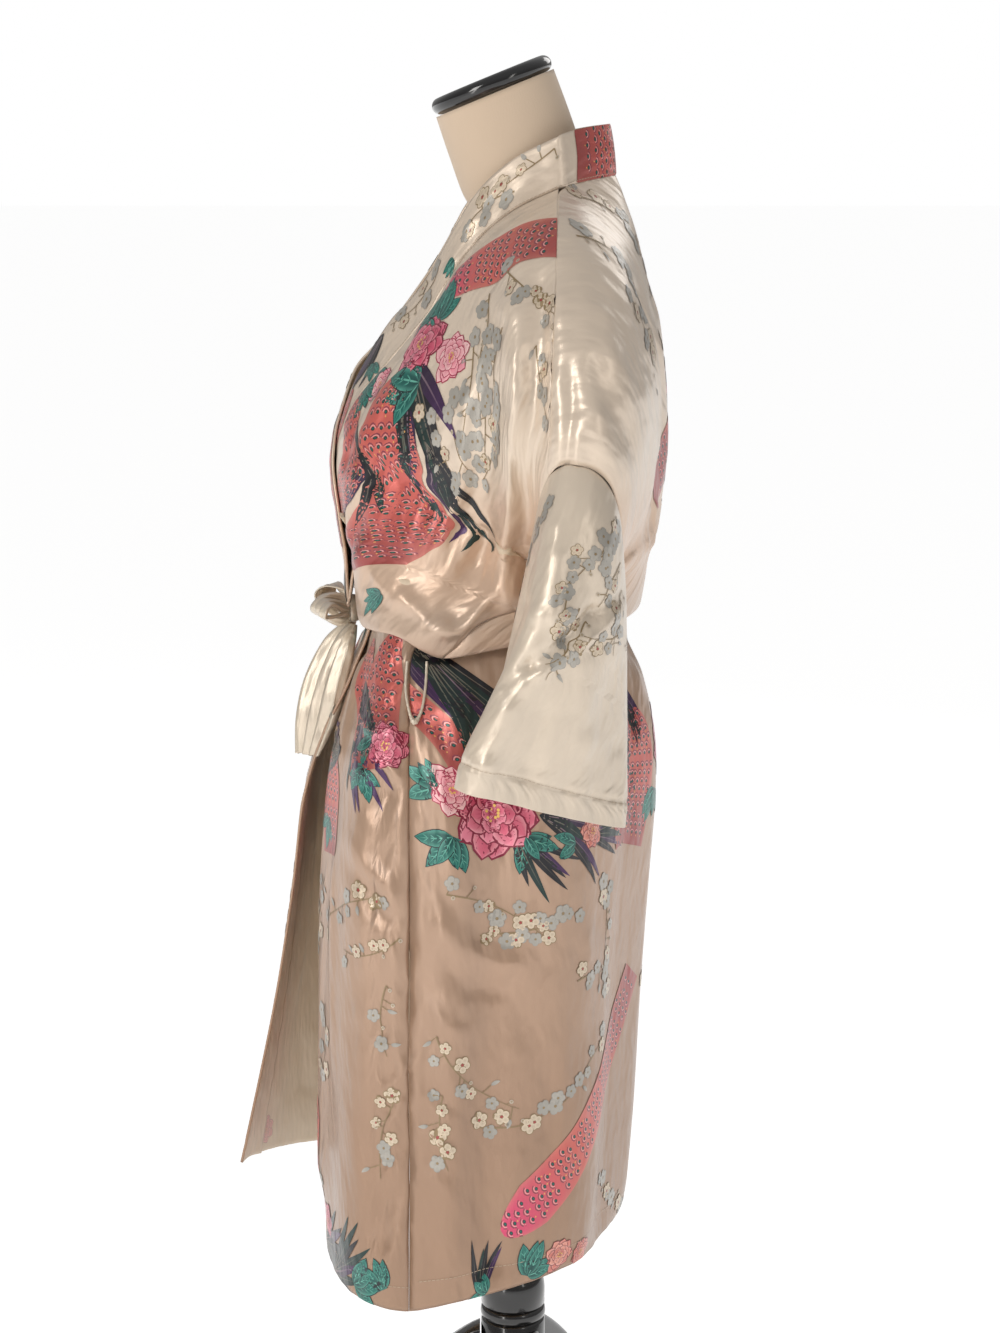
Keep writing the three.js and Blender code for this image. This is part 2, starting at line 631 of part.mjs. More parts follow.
function neckCap() {
  const half = neckCapThick / 2;
  const edge = steps(-90, 90, 6).map((degrees) => [
    neckCapRadius - half + half * Math.cos(radians(degrees)),
    half * Math.sin(radians(degrees)),
  ]);
  const cap = add("neck_cap", turned([[0, -half], ...edge, [0, half]]), blackGloss);
  const top = formRows.at(-1);
  const tilt = radians(top.tilt);
  cap.rotation.x = tilt;
  cap.position.set(0, top.y - Math.sin(tilt) * (half + seamGap), top.z + Math.cos(tilt) * (half + seamGap));
}

neckCap();

add("pole", turned([[0, hubTop + seamGap], [poleRadius, hubTop + seamGap], [poleRadius, formBottom - seamGap],
  [0, formBottom - seamGap]]), blackGloss);

function hubProfile() {
  const groove = 2.2;
  return [
    [0, hubBottom], [hubRadius - 6, hubBottom], [hubRadius, hubBottom + 5], [hubRadius, 250],
    [hubRadius - groove, 252], [hubRadius, 254], [hubRadius + 0.6, 258], [hubRadius, 261],
    [hubRadius - groove, 263], [hubRadius, 265], [hubRadius, 280], [hubRadius - 2, 288],
    [hubRadius - 7, 295], [poleRadius + 4, hubTop - 1], [poleRadius + 2, hubTop], [0, hubTop],
  ];
}

add("stand_hub", turned(hubProfile()), blackGloss);

// One sawn leg: a curved outline in the upright plane, as thick as the wood.
function legGeometry() {
  const start = hubRadius + 0.6 + seamGap;
  const outline = new THREE.Shape();
  outline.moveTo(start, 200);
  outline.lineTo(start, 246);
  outline.bezierCurveTo(start + 30, 236, 136, 160, 190, 78);
  outline.bezierCurveTo(212, 46, 232, 30, legReach - 6, 26);
  outline.lineTo(legReach, 18);
  outline.lineTo(legReach, 0);
  outline.lineTo(legReach - 40, 0);
  outline.bezierCurveTo(204, 4, 190, 18, 172, 48);
  outline.bezierCurveTo(126, 112, 84, 168, start, 200);
  const geometry = new THREE.ExtrudeGeometry(outline, { depth: legWidth, bevelEnabled: false, curveSegments: 10 });
  geometry.translate(0, 0, -legWidth / 2);
  geometry.rotateX(Math.PI / 2);
  return geometry;
}

for (let i = 0; i < legCount; i++) {
  const leg = add("leg_" + (i + 1), legGeometry(), blackGloss);
  leg.rotation.z = -Math.PI / 2 + (i * 2 * Math.PI) / legCount;
}

export default group;
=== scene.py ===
# %% [markdown]
# # A satin kimono robe on a dress form
# The object is a short wrap robe with dropped shoulders, wide sleeves, a plain neckband and a tied belt. It is cut
# from straight pieces of satin, so nearly all of its shape comes from how the cloth hangs. This lesson builds each
# piece as a thin shell, lays creases into it, prints flowers on it as flat shapes and lights it softly.
# Lengths in the tables are millimetres. Z is up, the front faces -Y and the wearer's left is +X.

# %% Frame
import math

import bpy
import numpy as np
from mathutils import Matrix, Vector


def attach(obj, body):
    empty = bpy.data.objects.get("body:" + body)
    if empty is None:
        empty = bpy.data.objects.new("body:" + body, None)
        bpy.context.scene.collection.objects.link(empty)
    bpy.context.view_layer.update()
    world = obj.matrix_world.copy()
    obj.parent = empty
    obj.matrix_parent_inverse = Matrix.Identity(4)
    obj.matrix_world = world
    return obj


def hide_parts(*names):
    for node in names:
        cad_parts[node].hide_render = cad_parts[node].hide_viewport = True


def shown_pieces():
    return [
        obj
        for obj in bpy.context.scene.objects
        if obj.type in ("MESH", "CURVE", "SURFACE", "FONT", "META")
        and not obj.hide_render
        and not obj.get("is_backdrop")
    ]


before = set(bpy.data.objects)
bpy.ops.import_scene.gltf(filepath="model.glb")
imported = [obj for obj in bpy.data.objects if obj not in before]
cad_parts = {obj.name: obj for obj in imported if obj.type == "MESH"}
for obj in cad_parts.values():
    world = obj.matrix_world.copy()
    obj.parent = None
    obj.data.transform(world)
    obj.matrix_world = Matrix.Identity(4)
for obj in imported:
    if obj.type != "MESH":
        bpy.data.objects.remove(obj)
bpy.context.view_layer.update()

# %% [markdown]
# ## Camera and light
# Satin shows its shape through its highlights, so large soft lights stand in front of and above the robe, and a
# weak one behind lifts the far edge. The camera stands level with the wearer's shoulder, on the left side.

# %% Camera and light
scene = bpy.context.scene
CAMERA_PLACE, CAMERA_TARGET = (2.300, 0.0493, 1.250), (0, 0.0493, 0.812)


def aimed(thing, place, target):
    thing.location = place
    thing.rotation_euler = (Vector(target) - Vector(place)).to_track_quat("-Z", "Y").to_euler()
    scene.collection.objects.link(thing)
    return thing


camera_data = bpy.data.cameras.new("camera")
camera_data.sensor_fit = "VERTICAL"
camera_data.sensor_height = 36
camera_data.lens = 77.8
camera = aimed(bpy.data.objects.new("camera", camera_data), CAMERA_PLACE, CAMERA_TARGET)
scene.camera = camera


def soft_light(name, place, target, size, watts, colour):
    lamp = bpy.data.lights.new(name, "AREA")
    lamp.shape = "RECTANGLE"
    lamp.size, lamp.size_y = size
    lamp.energy = watts
    lamp.color = colour
    return aimed(bpy.data.objects.new(name, lamp), place, target)


soft_light("window_light", (2.1, -1.7, 2.0), (0, 0, 0.95), (0.8, 1.3), 25, (1, 0.975, 0.94))
soft_light("side_light", (2.3, 1.9, 1.9), (0, 0.1, 0.85), (0.35, 1.5), 5.5, (1, 0.96, 0.91))
soft_light("strip_light", (2.2, -1.35, 0.75), (0, 0, 0.6), (0.22, 1.3), 5.5, (1, 0.97, 0.94))
soft_light("back_light", (-2.4, 1.4, 2.2), (0, 0, 0.9), (1.2, 1.2), 9, (1, 0.98, 0.96))
print("lights:", len(bpy.data.lights), "lens mm:", round(camera_data.lens, 1))

# %% [markdown]
# ## Studio walls
# The walls give the cloth something to reflect: bright overhead, dim at the level of the skirt. The camera itself
# sees them as plain white.

# %% Studio walls
world = bpy.data.worlds.new("studio")
world.use_nodes = True
nodes, links = world.node_tree.nodes, world.node_tree.links
heading = nodes.new("ShaderNodeTexCoord")
split = nodes.new("ShaderNodeSeparateXYZ")
ramp = nodes.new("ShaderNodeValToRGB")
ramp.color_ramp.elements[0].position, ramp.color_ramp.elements[0].color = 0.0, (0.24, 0.235, 0.23, 1)
ramp.color_ramp.elements[1].position, ramp.color_ramp.elements[1].color = 0.75, (0.46, 0.46, 0.46, 1)
white = nodes.new("ShaderNodeBackground")
path_of_light = nodes.new("ShaderNodeLightPath")
either = nodes.new("ShaderNodeMixShader")
links.new(heading.outputs["Generated"], split.inputs["Vector"])
links.new(split.outputs["Z"], ramp.inputs["Fac"])
links.new(ramp.outputs["Color"], nodes["Background"].inputs["Color"])
white.inputs["Color"].default_value = (1, 1, 1, 1)
links.new(path_of_light.outputs["Is Camera Ray"], either.inputs["Fac"])
links.new(nodes["Background"].outputs["Background"], either.inputs[1])
links.new(white.outputs["Background"], either.inputs[2])
links.new(either.outputs["Shader"], nodes["World Output"].inputs["Surface"])
scene.world = world
scene.view_settings.view_transform = "Standard"
print("walls:", world.name)

# %% [markdown]
# ## Tables for the cloth
# Every piece of the robe is a surface through a short table of sections: the sleeve from armhole to cuff, the body
# from shoulder to hem. A smooth curve through each column fills in between the rows.

# %% Tables
SHIFT_Y = 60.3
WALL = 1.2


def table(names, rows):
    return {name: np.array([row[i] for row in rows], float) for i, name in enumerate(names.split())}


def along(rows, name, v):
    column = rows[name]
    last = len(column) - 1
    v = np.asarray(v, float)
    i = np.clip(np.floor(v).astype(int), 0, last - 1)
    t = v - i
    a, b, c, d = (column[np.clip(i + k, 0, last)] for k in (-1, 0, 1, 2))
    return b + 0.5 * t * (c - a + t * (2 * a - 5 * b + 4 * c - d + t * (3 * (b - c) + d - a)))


def smooth(start, end, value):
    t = np.clip((np.asarray(value, float) - start) / (end - start), 0, 1)
    return t * t * (3 - 2 * t)


def mix(a, b, t):
    return a + (b - a) * t


def power(value, exponent):
    return np.sign(value) * np.abs(value) ** exponent


sleeve_rows = table("x y z long short turn rise lean square", [
    [182, 48, 950, 46, 31, 90, 1.15, -0.25, 0.85],
    [199, 46, 915, 53, 36, 84, 0.9, -0.15, 0.9],
    [208, 41, 868, 58, 39, 70, 0.65, -0.05, 0.95],
    [212, 32, 818, 67, 36, 54, 0.42, 0, 0.95],
    [215, 23, 775, 74, 33, 43, 0.35, -0.06, 0.95],
    [216, 19, 747, 76, 32, 40, 0.32, -0.1, 0.95],
])

UNDERARM = 6
body_rows = table("armF armB sideX sideY sideZ backY backZ neck frontY frontZ bellyF bellyB fallF fallB dip", [
    [-50, -50, 0, 0, 0, 34, 1206, 46, 34, 1206, 0, 0, 2, 2, 0],
    [-66, -20, 0, 0, 0, 62, 1188, 25, -4, 1188, 6, 0, 2, 2, 0],
    [-84, 15, 0, 0, 0, 87, 1160, 10, -38, 1160, 14, 0, 2, 2, 0],
    [-104, 52, 0, 0, 0, 104, 1115, 3, -70, 1115, 20, 0, 2, 2, 0],
    [-126, 90, 0, 0, 0, 115, 1060, 0, -102, 1073, 22, 6, 2, 2, 0],
    [-152, 135, 0, 0, 0, 117, 990, 0, -131, 1030, 20, 5, 2, 2, 0],
    [-180, 180, 136, 48, 897, 111, 928, 0, -142, 985, 20, 4, 2, 2, 0],
    [0, 0, 139, 12, 885, 107, 905, 0, -138, 945, 13, 6, 1.6, 2, 2],
    [0, 0, 142, -24, 873, 105, 886, 0, -134, 924, 10, 8, 1.3, 2, 10],
    [0, 0, 142, -50, 849, 102, 868, 0, -130, 906, 8, 8, 1.2, 3, 26],
    [0, 0, 138, -56, 849, 96, 868, 0, -125, 903.5, 8, 8, 1.2, 3, 26],
    [0, 0, 133, -62, 898, 91, 899, 0, -120.5, 902.5, 8, 8, 1.2, 2, 4],
    [0, 0, 127, -66, 906, 85, 907, 0, -116, 902, 8, 8, 1.2, 2, 0],
    [0, 0, 121, -70, 899, 80, 900, 0, -112, 898, 8, 8, 1.2, 2, 0],
    [0, 0, 121, -71, 862, 80, 862, 0, -112, 862, 8, 8, 1.2, 2, 0],
    [0, 0, 129, -79, 842, 86, 842, 0, -116, 842, 6, 8, 1.2, 2, 0],
    [0, 0, 148, -80, 806, 97, 806, 0, -127, 806, 6, 10, 1.2, 2, 0],
    [0, 0, 165, -80, 765, 106, 765, 0, -139, 765, 6, 12, 1.2, 2, 0],
    [0, 0, 176, -80, 712, 108, 712, 0, -147, 712, 6, 12, 1.2, 2, 0],
    [0, 0, 181, -80, 640, 103, 640, 0, -153, 640, 6, 12, 1.2, 2, 0],
    [0, 0, 184, -81, 550, 97, 550, 0, -155, 550, 6, 12, 1.2, 2, 0],
    [0, 0, 187, -81, 450, 92, 450, 0, -156, 450, 6, 12, 1.2, 2, 0],
    [0, 0, 189, -82, 336, 85, 362, 0, -156, 352, 6, 12, 1.2, 3.5, 0],
])

edge_rows = table("left right stand swing lift lap", [
    [65, 65, 1, 0, 0, 0],
    [66, 66, 0.9, 0, 0, 0],
    [71, 71, 0.72, 0, 0, 0],
    [75, 75, 0.5, 0, 0, 2],
    [63, 63, 0.3, 0, 0, 4],
    [44, 44, 0.12, 0, 0, 6],
    [22, 22, 0, 0, 0, 7],
    [2, 2, 0, 0, 0, 7],
    [-10, -8, 0, 0, 0, 6],
    [-14, -12, 0, 0, 0, 6],
    [-15, -13, 0, 0, 0, 6],
    [-16, -14, 0, 0, 0, 6],
    [-16, -14, 0, 0, 0, 5],
    [-17, -14, 0, 0, 0, 4.5],
    [-18, -14, 0, 0, 0, 4.5],
    [-19, -13, 0, 0, 0, 5],
    [-24, -10, 0, 2, 0, 6],
    [-28, -4, 0, 8, 0, 7],
    [-28, 4, 0, 14, 0, 8],
    [-24, 14, 0, 16, 0, 9],
    [-18, 24, 0, 26, 4, 9],
    [-12, 34, 0, 40, 14, 9],
    [-8, 44, 0, 54, 30, 9],
])
print("rows:", len(sleeve_rows["x"]), "for the sleeve,", len(body_rows["armF"]), "for the body")

# %% [markdown]
# ## Where the cloth lies
# A section is a quarter of a rounded square from the centre to the side seam. Above the underarm its outer end is a
# point on the armhole, so the body and the sleeve share their seam. The bodice's rows fold over at the waist: they
# run down to the bottom of the blousing, back up inside it and then down again behind the belt.

# %% Surfaces
SECTION_SQUARE = 0.84
BLOUSE_ROW, TUCKED_ROW = 7, 13
NECK_HOLLOW_REACH = 84
DIP_FROM, DIP_FULL = 75, 20


def sleeve_point(side, v, degrees):
    at = lambda name: along(sleeve_rows, name, v)
    turn, angle = np.radians(at("turn")), np.radians(degrees)
    far = at("long") * power(np.cos(angle), at("square"))
    near = at("short") * power(np.sin(angle), at("square"))
    return np.stack([
        side * (at("x") + far * np.sin(turn) + near * np.cos(turn)),
        at("y") - far * np.cos(turn) + near * np.sin(turn),
        at("z") + far * at("rise") + near * at("lean"),
    ], -1)


underarm_point = sleeve_point(1, np.array(0.0), np.array(180.0))
for k, name in enumerate(("sideX", "sideY", "sideZ")):
    body_rows[name][:UNDERARM] = underarm_point[k]


def body_point(half, v, degrees, unfolded=0.0):
    v, degrees = np.broadcast_arrays(np.asarray(v, float), np.asarray(degrees, float))
    at = lambda name: along(body_rows, name, v)
    angle, sign = np.abs(degrees), np.where(degrees < 0, -1.0, 1.0)
    arm = sleeve_point(1, np.zeros_like(v), at("arm" + half))
    side = np.stack([at("sideX"), at("sideY"), at("sideZ")], -1)
    side = np.where((v < UNDERARM)[..., None], arm, side)
    centre_y, centre_z = (at("frontY"), at("frontZ")) if half == "F" else (at("backY"), at("backZ"))
    square = mix(1, SECTION_SQUARE, smooth(2, 8, v))
    turn = np.radians(angle)
    x = side[..., 0] * np.sin(turn) ** square + at("belly" + half) * np.sin(2 * turn)
    reach = np.clip(x / NECK_HOLLOW_REACH, 0, 1)
    hollow = at("neck") * (0.5 + 0.5 * np.cos(np.pi * reach)) if half == "B" else 0
    y = side[..., 1] + (centre_y - side[..., 1]) * np.clip(np.cos(turn), 0, 1) ** square + hollow
    dip = at("dip") * smooth(DIP_FROM, DIP_FULL, angle) if half == "F" else 0
    z = centre_z + (side[..., 2] - centre_z) * (angle / 90) ** at("fall" + half) - dip
    share = np.clip((v - BLOUSE_ROW) / (TUCKED_ROW - BLOUSE_ROW), 0, 1)
    flat = unfolded * ((share > 0) & (share < 1))
    flat_y = mix(body_rows["frontY"][BLOUSE_ROW], body_rows["frontY"][TUCKED_ROW], share)
    flat_z = mix(body_rows["frontZ"][BLOUSE_ROW], body_rows["frontZ"][TUCKED_ROW], share)
    return np.stack([sign * x, mix(y, y - centre_y + flat_y, flat), mix(z, flat_z, flat)], -1)


def edge_angle(v, distance):
    low, high = np.full_like(v, -60.0), np.full_like(v, 60.0)
    for _ in range(24):
        middle = (low + high) / 2
        nearer = body_point("F", v, middle)[..., 0] < distance
        low, high = np.where(nearer, middle, low), np.where(nearer, high, middle)
    return (low + high) / 2


LAP_ABOVE = 0.62
COVERED = 27, 16


def front_point(side, v, u):
    v = np.asarray(v, float)
    edge = edge_angle(v, along(edge_rows, "left" if side > 0 else "right", v))
    degrees = mix(edge, 90, u)
    unfolded = smooth(*COVERED, degrees) if side > 0 else 0.0
    point = body_point("F", v, degrees, unfolded)
    if side < 0:
        lap = along(edge_rows, "lap", v) * mix(LAP_ABOVE, 1, smooth(8, 10, v))
        swing = along(edge_rows, "swing", v)
        point[..., 1] -= lap * smooth(1, 0.3, u) + swing * np.clip(1 - u, 0, None) ** 1.5
        point[..., 2] += along(edge_rows, "lift", v) * (1 - u) ** 2
        point[..., 0] *= -1
    return point


def back_point(v, u):
    return body_point("B", v, mix(-90, 90, u))


print("underarm at", np.round(underarm_point, 1))

# %% [markdown]
# ## Folds and creases
# Satin doesn't fold at random: it hangs from the shoulders, the sleeve seam and the belt, so its folds start there
# and fade out. Each one is a line of points with a height and a width. The cloth near a line is pushed out, or in
# for a trough, by a soft bell curve. The large folds come first, then the finer ones, as uneven as on real cloth.

# %% Large folds
fold_rows = [
    ["left", 2, 1140, -4, 900, 11, 12],
    ["left", 18, 1130, 14, 905, -8, 9],
    ["left", -20, 1130, -26, 920, -6, 14],
    ["left", 32, 1120, 28, 960, 6, 8],
    ["left", -8, 890, -58, 866, 7, 16],
    ["left", 72, 1130, 96, 1010, -7, 18],
    ["left", -92, 1080, -60, 960, -4, 22],
    ["left", -150, 745, -96, 790, 7, 12],
    ["left", -146, 712, -100, 745, -6, 13],
    ["left", -106, 770, -108, 400, -5, 13],
    ["left", 26, 790, 52, 380, 8.5, 20],
    ["left", -12, 770, -22, 380, -7, 17],
    ["left", -48, 800, -46, 380, 6, 14],
    ["left", 78, 760, 92, 400, -6, 20],
    ["left", -128, 760, -132, 380, 5, 14],
    ["right", 16, 1105, -2, 905, 8, 16],
    ["right", 70, 1120, 92, 1000, -6, 18],
    ["right", -96, 1070, -66, 960, -5, 20],
    ["right", -146, 748, -98, 786, 6, 13],
    ["right", 16, 690, 38, 380, 5, 28],
    ["right", -46, 650, -38, 390, -5, 22],
    ["front", 96, 1120, 84, 930, 5, 20],
    ["front", -92, 1115, -80, 935, 5, 20],
    ["front", 70, 800, 82, 420, 6, 22],
    ["front", -100, 800, -112, 420, 6, 22],
    ["back", -90, 1120, -70, 940, -6, 20],
    ["back", 84, 1115, 66, 945, -6, 20],
    ["back", 0, 1090, 4, 930, 5, 26],
    ["back", -96, 800, -112, 380, 8, 24],
    ["back", -34, 810, -42, 380, -6, 22],
    ["back", 30, 805, 36, 380, 8, 24],
    ["back", 92, 800, 104, 380, -6, 24],
]
BELT_MIDDLE, TUCK_START, TUCK_END = 879, 9.6, 15


def line_distance(a, z, start, end):
    run, drop = end[0] - start[0], end[1] - start[1]
    t = np.clip(((a - start[0]) * run + (z - start[1]) * drop) / (run * run + drop * drop), 0, 1)
    return np.hypot(a - start[0] - run * t, z - start[1] - drop * t), t


def facing_of(face, out):
    return {"left": out[..., 0], "right": -out[..., 0], "front": -out[..., 1], "back": out[..., 1]}[face]


def large_folds(point, out, level):
    height = np.zeros(point.shape[:-1])
    smooth_part = (level > TUCK_START) & (level < TUCK_END)
    for face, a, z, b, low, fold, width in fold_rows:
        on = ((level < TUCK_START) == (z > BELT_MIDDLE)) & ~smooth_part
        facing = np.clip(facing_of(face, out), 0, None)
        across = point[..., 1] if face in ("left", "right") else point[..., 0]
        distance, _ = line_distance(across, point[..., 2], (a, z), (b, low))
        height += np.where(on, fold * facing ** 2 * np.exp(-((distance / width) ** 2)), 0)
    return height


# %% [markdown]
# ## Fine creases
# Each crease has the side it is seen from, its height, its width and its points as (across, z). Whether it lies
# above or below the belt is told from its first point.

# %% Fine creases
crease_rows = [
    ["left", 3.4, 5, [(4, 1120), (1, 1040), (-2, 960), (-14, 900), (-40, 868), (-84, 866)]],
    ["left", -2.8, 5, [(13, 1100), (11, 1020), (8, 950), (-4, 905)]],
    ["left", -2.4, 7, [(-10, 1090), (-14, 1000), (-24, 930), (-52, 892)]],
    ["left", 2.2, 6, [(-34, 1060), (-40, 980), (-62, 915)]],
    ["left", -2.2, 6, [(36, 1090), (40, 1030), (34, 980)]],
    ["left", 2.6, 9, [(64, 1120), (78, 1072), (100, 1030)]],
    ["left", -2.4, 8, [(56, 1090), (72, 1044), (92, 1005)]],
    ["left", 2.2, 8, [(50, 1050), (66, 1010), (84, 978)]],
    ["left", 2.4, 9, [(-136, 716), (-116, 690), (-98, 676), (-90, 650)]],
    ["left", -2.2, 8, [(-130, 690), (-112, 668), (-96, 640)]],
    ["left", 2.0, 8, [(-64, 660), (-40, 626), (-10, 612), (20, 616)]],
    ["left", -1.8, 8, [(-60, 628), (-36, 598), (0, 590)]],
    ["left", 1.8, 10, [(-112, 660), (-96, 628), (-84, 600)]],
    ["left", 1.6, 9, [(-134, 690), (-118, 640), (-112, 590)]],
    ["left", 2.0, 6, [(-4, 1040), (-14, 980), (-40, 905)]],
    ["left", 2.0, 7, [(44, 1045), (42, 1000), (34, 958)]],
    ["left", -1.6, 6, [(-22, 1010), (-34, 960), (-62, 905)]],
    ["left", 1.6, 6, [(-58, 1010), (-70, 955), (-92, 915)]],
    ["left", -1.6, 7, [(-78, 1000), (-96, 950), (-116, 925)]],
    ["left", 2.2, 8, [(-60, 1150), (-30, 1120), (10, 1106)]],
    ["left", -2.0, 9, [(-84, 1130), (-60, 1098), (-30, 1080)]],
    ["left", 1.8, 6, [(-100, 905), (-70, 880), (-44, 872)]],
    ["left", 1.6, 5, [(-118, 915), (-92, 888), (-60, 884)]],
    ["left", -1.5, 5, [(-84, 892), (-60, 878), (-30, 880)]],
    ["left", -2.2, 10, [(70, 1130), (88, 1080), (104, 1040)]],
    ["left", 2.0, 9, [(60, 1100), (80, 1050), (98, 1000)]],
    ["left", 1.8, 8, [(56, 1060), (74, 1010), (86, 985)]],
    ["left", 2.2, 5, [(-146, 730), (-118, 757), (-96, 765), (-84, 752)]],
    ["left", -2.0, 5, [(-150, 762), (-126, 772), (-100, 790)]],
    ["left", 1.6, 4, [(-128, 800), (-112, 790), (-96, 792)]],
    ["left", -1.3, 4, [(-120, 812), (-104, 806), (-92, 812)]],
    ["left", 1.4, 5, [(-84, 806), (-70, 780), (-62, 740)]],
    ["left", -1.5, 6, [(-60, 812), (-48, 770), (-40, 720)]],
    ["left", 1.6, 7, [(-30, 815), (-14, 770), (-4, 700)]],
    ["left", -1.2, 6, [(-76, 640), (-84, 600), (-78, 560)]],
    ["left", 1.8, 7, [(-70, 700), (-58, 650), (-66, 590)]],
    ["left", 1.2, 5, [(-72, 590), (-52, 566), (-20, 560)]],
    ["left", -1.2, 5, [(-92, 570), (-112, 552), (-140, 560)]],
    ["left", 1.5, 4, [(-76, 545), (-92, 520), (-108, 512)]],
    ["left", -1.4, 4, [(-76, 530), (-60, 512), (-44, 500)]],
    ["left", 1.6, 4, [(-78, 512), (-94, 492), (-104, 484)]],
    ["left", 1.4, 4, [(-74, 492), (-58, 472), (-46, 466)]],
    ["left", -1.4, 4, [(-80, 478), (-96, 458), (-110, 452)]],
    ["left", 1.4, 5, [(-72, 455), (-54, 436), (-40, 430)]],
    ["left", -1.3, 4, [(-82, 440), (-98, 420), (-108, 410)]],
    ["left", 1.5, 6, [(-84, 410), (-96, 380), (-104, 350)]],
    ["left", -1.2, 8, [(0, 600), (24, 520), (30, 440)]],
    ["left", 1.3, 9, [(60, 640), (70, 560), (64, 470)]],
    ["left", -1.0, 7, [(-120, 640), (-126, 560), (-122, 470)]],
    ["front", 2.2, 7, [(110, 1090), (98, 1020), (92, 950)]],
    ["front", -1.8, 7, [(82, 1100), (74, 1030), (66, 960)]],
    ["front", 1.8, 6, [(120, 960), (104, 925), (84, 905)]],
    ["front", -1.6, 6, [(104, 960), (84, 925), (60, 910)]],
    ["front", 2.2, 7, [(-112, 1090), (-102, 1020), (-94, 950)]],
    ["front", -1.8, 7, [(-70, 1060), (-60, 1000), (-44, 950)]],
    ["front", 1.7, 6, [(-60, 1000), (-40, 950), (-20, 915)]],
    ["front", 1.8, 6, [(-124, 960), (-106, 925), (-88, 900)]],
    ["front", 2.4, 5, [(16, 830), (40, 800), (52, 740)]],
    ["front", -2.0, 6, [(30, 836), (62, 800), (78, 750)]],
    ["front", 2.0, 6, [(60, 838), (88, 806), (102, 740)]],
    ["front", 2.4, 5, [(-16, 828), (-36, 790), (-42, 730)]],
    ["front", -2.2, 6, [(-34, 834), (-62, 790), (-72, 730)]],
    ["front", 2.0, 6, [(-66, 838), (-94, 800), (-106, 730)]],
    ["front", -1.6, 9, [(-60, 700), (-70, 600), (-72, 480)]],
    ["front", 1.6, 9, [(120, 700), (126, 600), (132, 480)]],
    ["right", 3.0, 6, [(20, 1060), (14, 1000), (0, 940), (-20, 895)]],
    ["right", -2.0, 6, [(34, 1050), (32, 1000), (22, 950)]],
    ["right", 1.8, 7, [(-20, 1010), (-36, 960), (-60, 905)]],
    ["right", 1.8, 8, [(60, 1090), (78, 1040), (94, 1000)]],
    ["right", 1.6, 6, [(-100, 905), (-74, 882), (-48, 874)]],
    ["right", -1.5, 6, [(-66, 812), (-52, 770), (-44, 720)]],
    ["right", 1.6, 7, [(-34, 812), (-18, 765), (-10, 700)]],
    ["right", 1.5, 5, [(-80, 590), (-100, 566), (-120, 560)]],
    ["right", -1.4, 5, [(-78, 560), (-60, 540), (-46, 530)]],
    ["right", 1.4, 5, [(-80, 520), (-98, 500), (-112, 494)]],
    ["right", 1.3, 5, [(-76, 470), (-58, 450), (-46, 440)]],
    ["back", 2.2, 9, [(-120, 1120), (-100, 1050), (-84, 980)]],
    ["back", 2.0, 9, [(112, 1115), (96, 1040), (82, 975)]],
    ["back", -1.8, 9, [(-48, 1110), (-36, 1040), (-30, 960)]],
    ["back", 1.8, 10, [(46, 1100), (34, 1030), (30, 950)]],
    ["back", 2.0, 6, [(-70, 960), (-62, 930), (-60, 912)]],
    ["back", -1.8, 6, [(-40, 955), (-38, 930), (-36, 912)]],
    ["back", 2.0, 6, [(-12, 955), (-14, 930), (-16, 910)]],
    ["back", -1.8, 6, [(18, 955), (18, 930), (18, 912)]],
    ["back", 2.0, 6, [(44, 958), (42, 932), (40, 910)]],
    ["back", 1.8, 6, [(78, 960), (72, 935), (70, 912)]],
    ["back", 2.0, 6, [(-64, 855), (-70, 820), (-78, 760)]],
    ["back", -1.8, 6, [(-20, 858), (-22, 815), (-24, 760)]],
    ["back", 2.0, 6, [(8, 858), (10, 815), (14, 750)]],
    ["back", -1.8, 6, [(58, 856), (64, 815), (70, 760)]],
    ["back", 1.6, 8, [(-140, 780), (-146, 700), (-150, 560)]],
    ["back", 1.6, 8, [(142, 780), (148, 700), (152, 560)]],
]


CREASE_DEPTH = 1.9


def fine_creases(point, out, level):
    height = np.zeros(point.shape[:-1])
    quiet = (level > TUCK_START) & (level < TUCK_END)
    for face, rise, width, points in crease_rows:
        on = ((level < TUCK_START) == (points[0][1] > BELT_MIDDLE - 15)) & ~quiet
        facing = np.clip(facing_of(face, out), 0, None)
        across = point[..., 1] if face in ("left", "right") else point[..., 0]
        near = np.full(point.shape[:-1], 1e9)
        share = np.zeros(point.shape[:-1])
        for i, (start, end) in enumerate(zip(points, points[1:])):
            distance, t = line_distance(across, point[..., 2], start, end)
            closer = distance < near
            near = np.where(closer, distance, near)
            share = np.where(closer, (i + t) / (len(points) - 1), share)
        ends = smooth(0, 0.2, share) * smooth(1, 0.75, share)
        height += np.where(on, CREASE_DEPTH * rise * facing ** 1.5 * ends * np.exp(-((near / width) ** 2)), 0)
    return height


print("folds:", len(fold_rows), "creases:", len(crease_rows))

# %% [markdown]
# ## A thin shell of cloth
# Cloth has a right side, a wrong side and an edge. The shell is a grid of points on the right side, the same grid
# moved inwards by the cloth's thickness, and a narrow rim that joins them. Its UV map is the flat cut in metres, so
# the weave and the print keep their scale wherever the cloth goes.

# %% Shell builder
pieces = {}


def normals_of(points, around):
    down = np.gradient(points, axis=0)
    if around:
        across = (np.roll(points, -1, axis=1) - np.roll(points, 1, axis=1)) / 2
    else:
        across = np.gradient(points, axis=1)
    out = np.cross(down, across)
    return out / np.maximum(np.linalg.norm(out, axis=-1, keepdims=True), 1e-9)


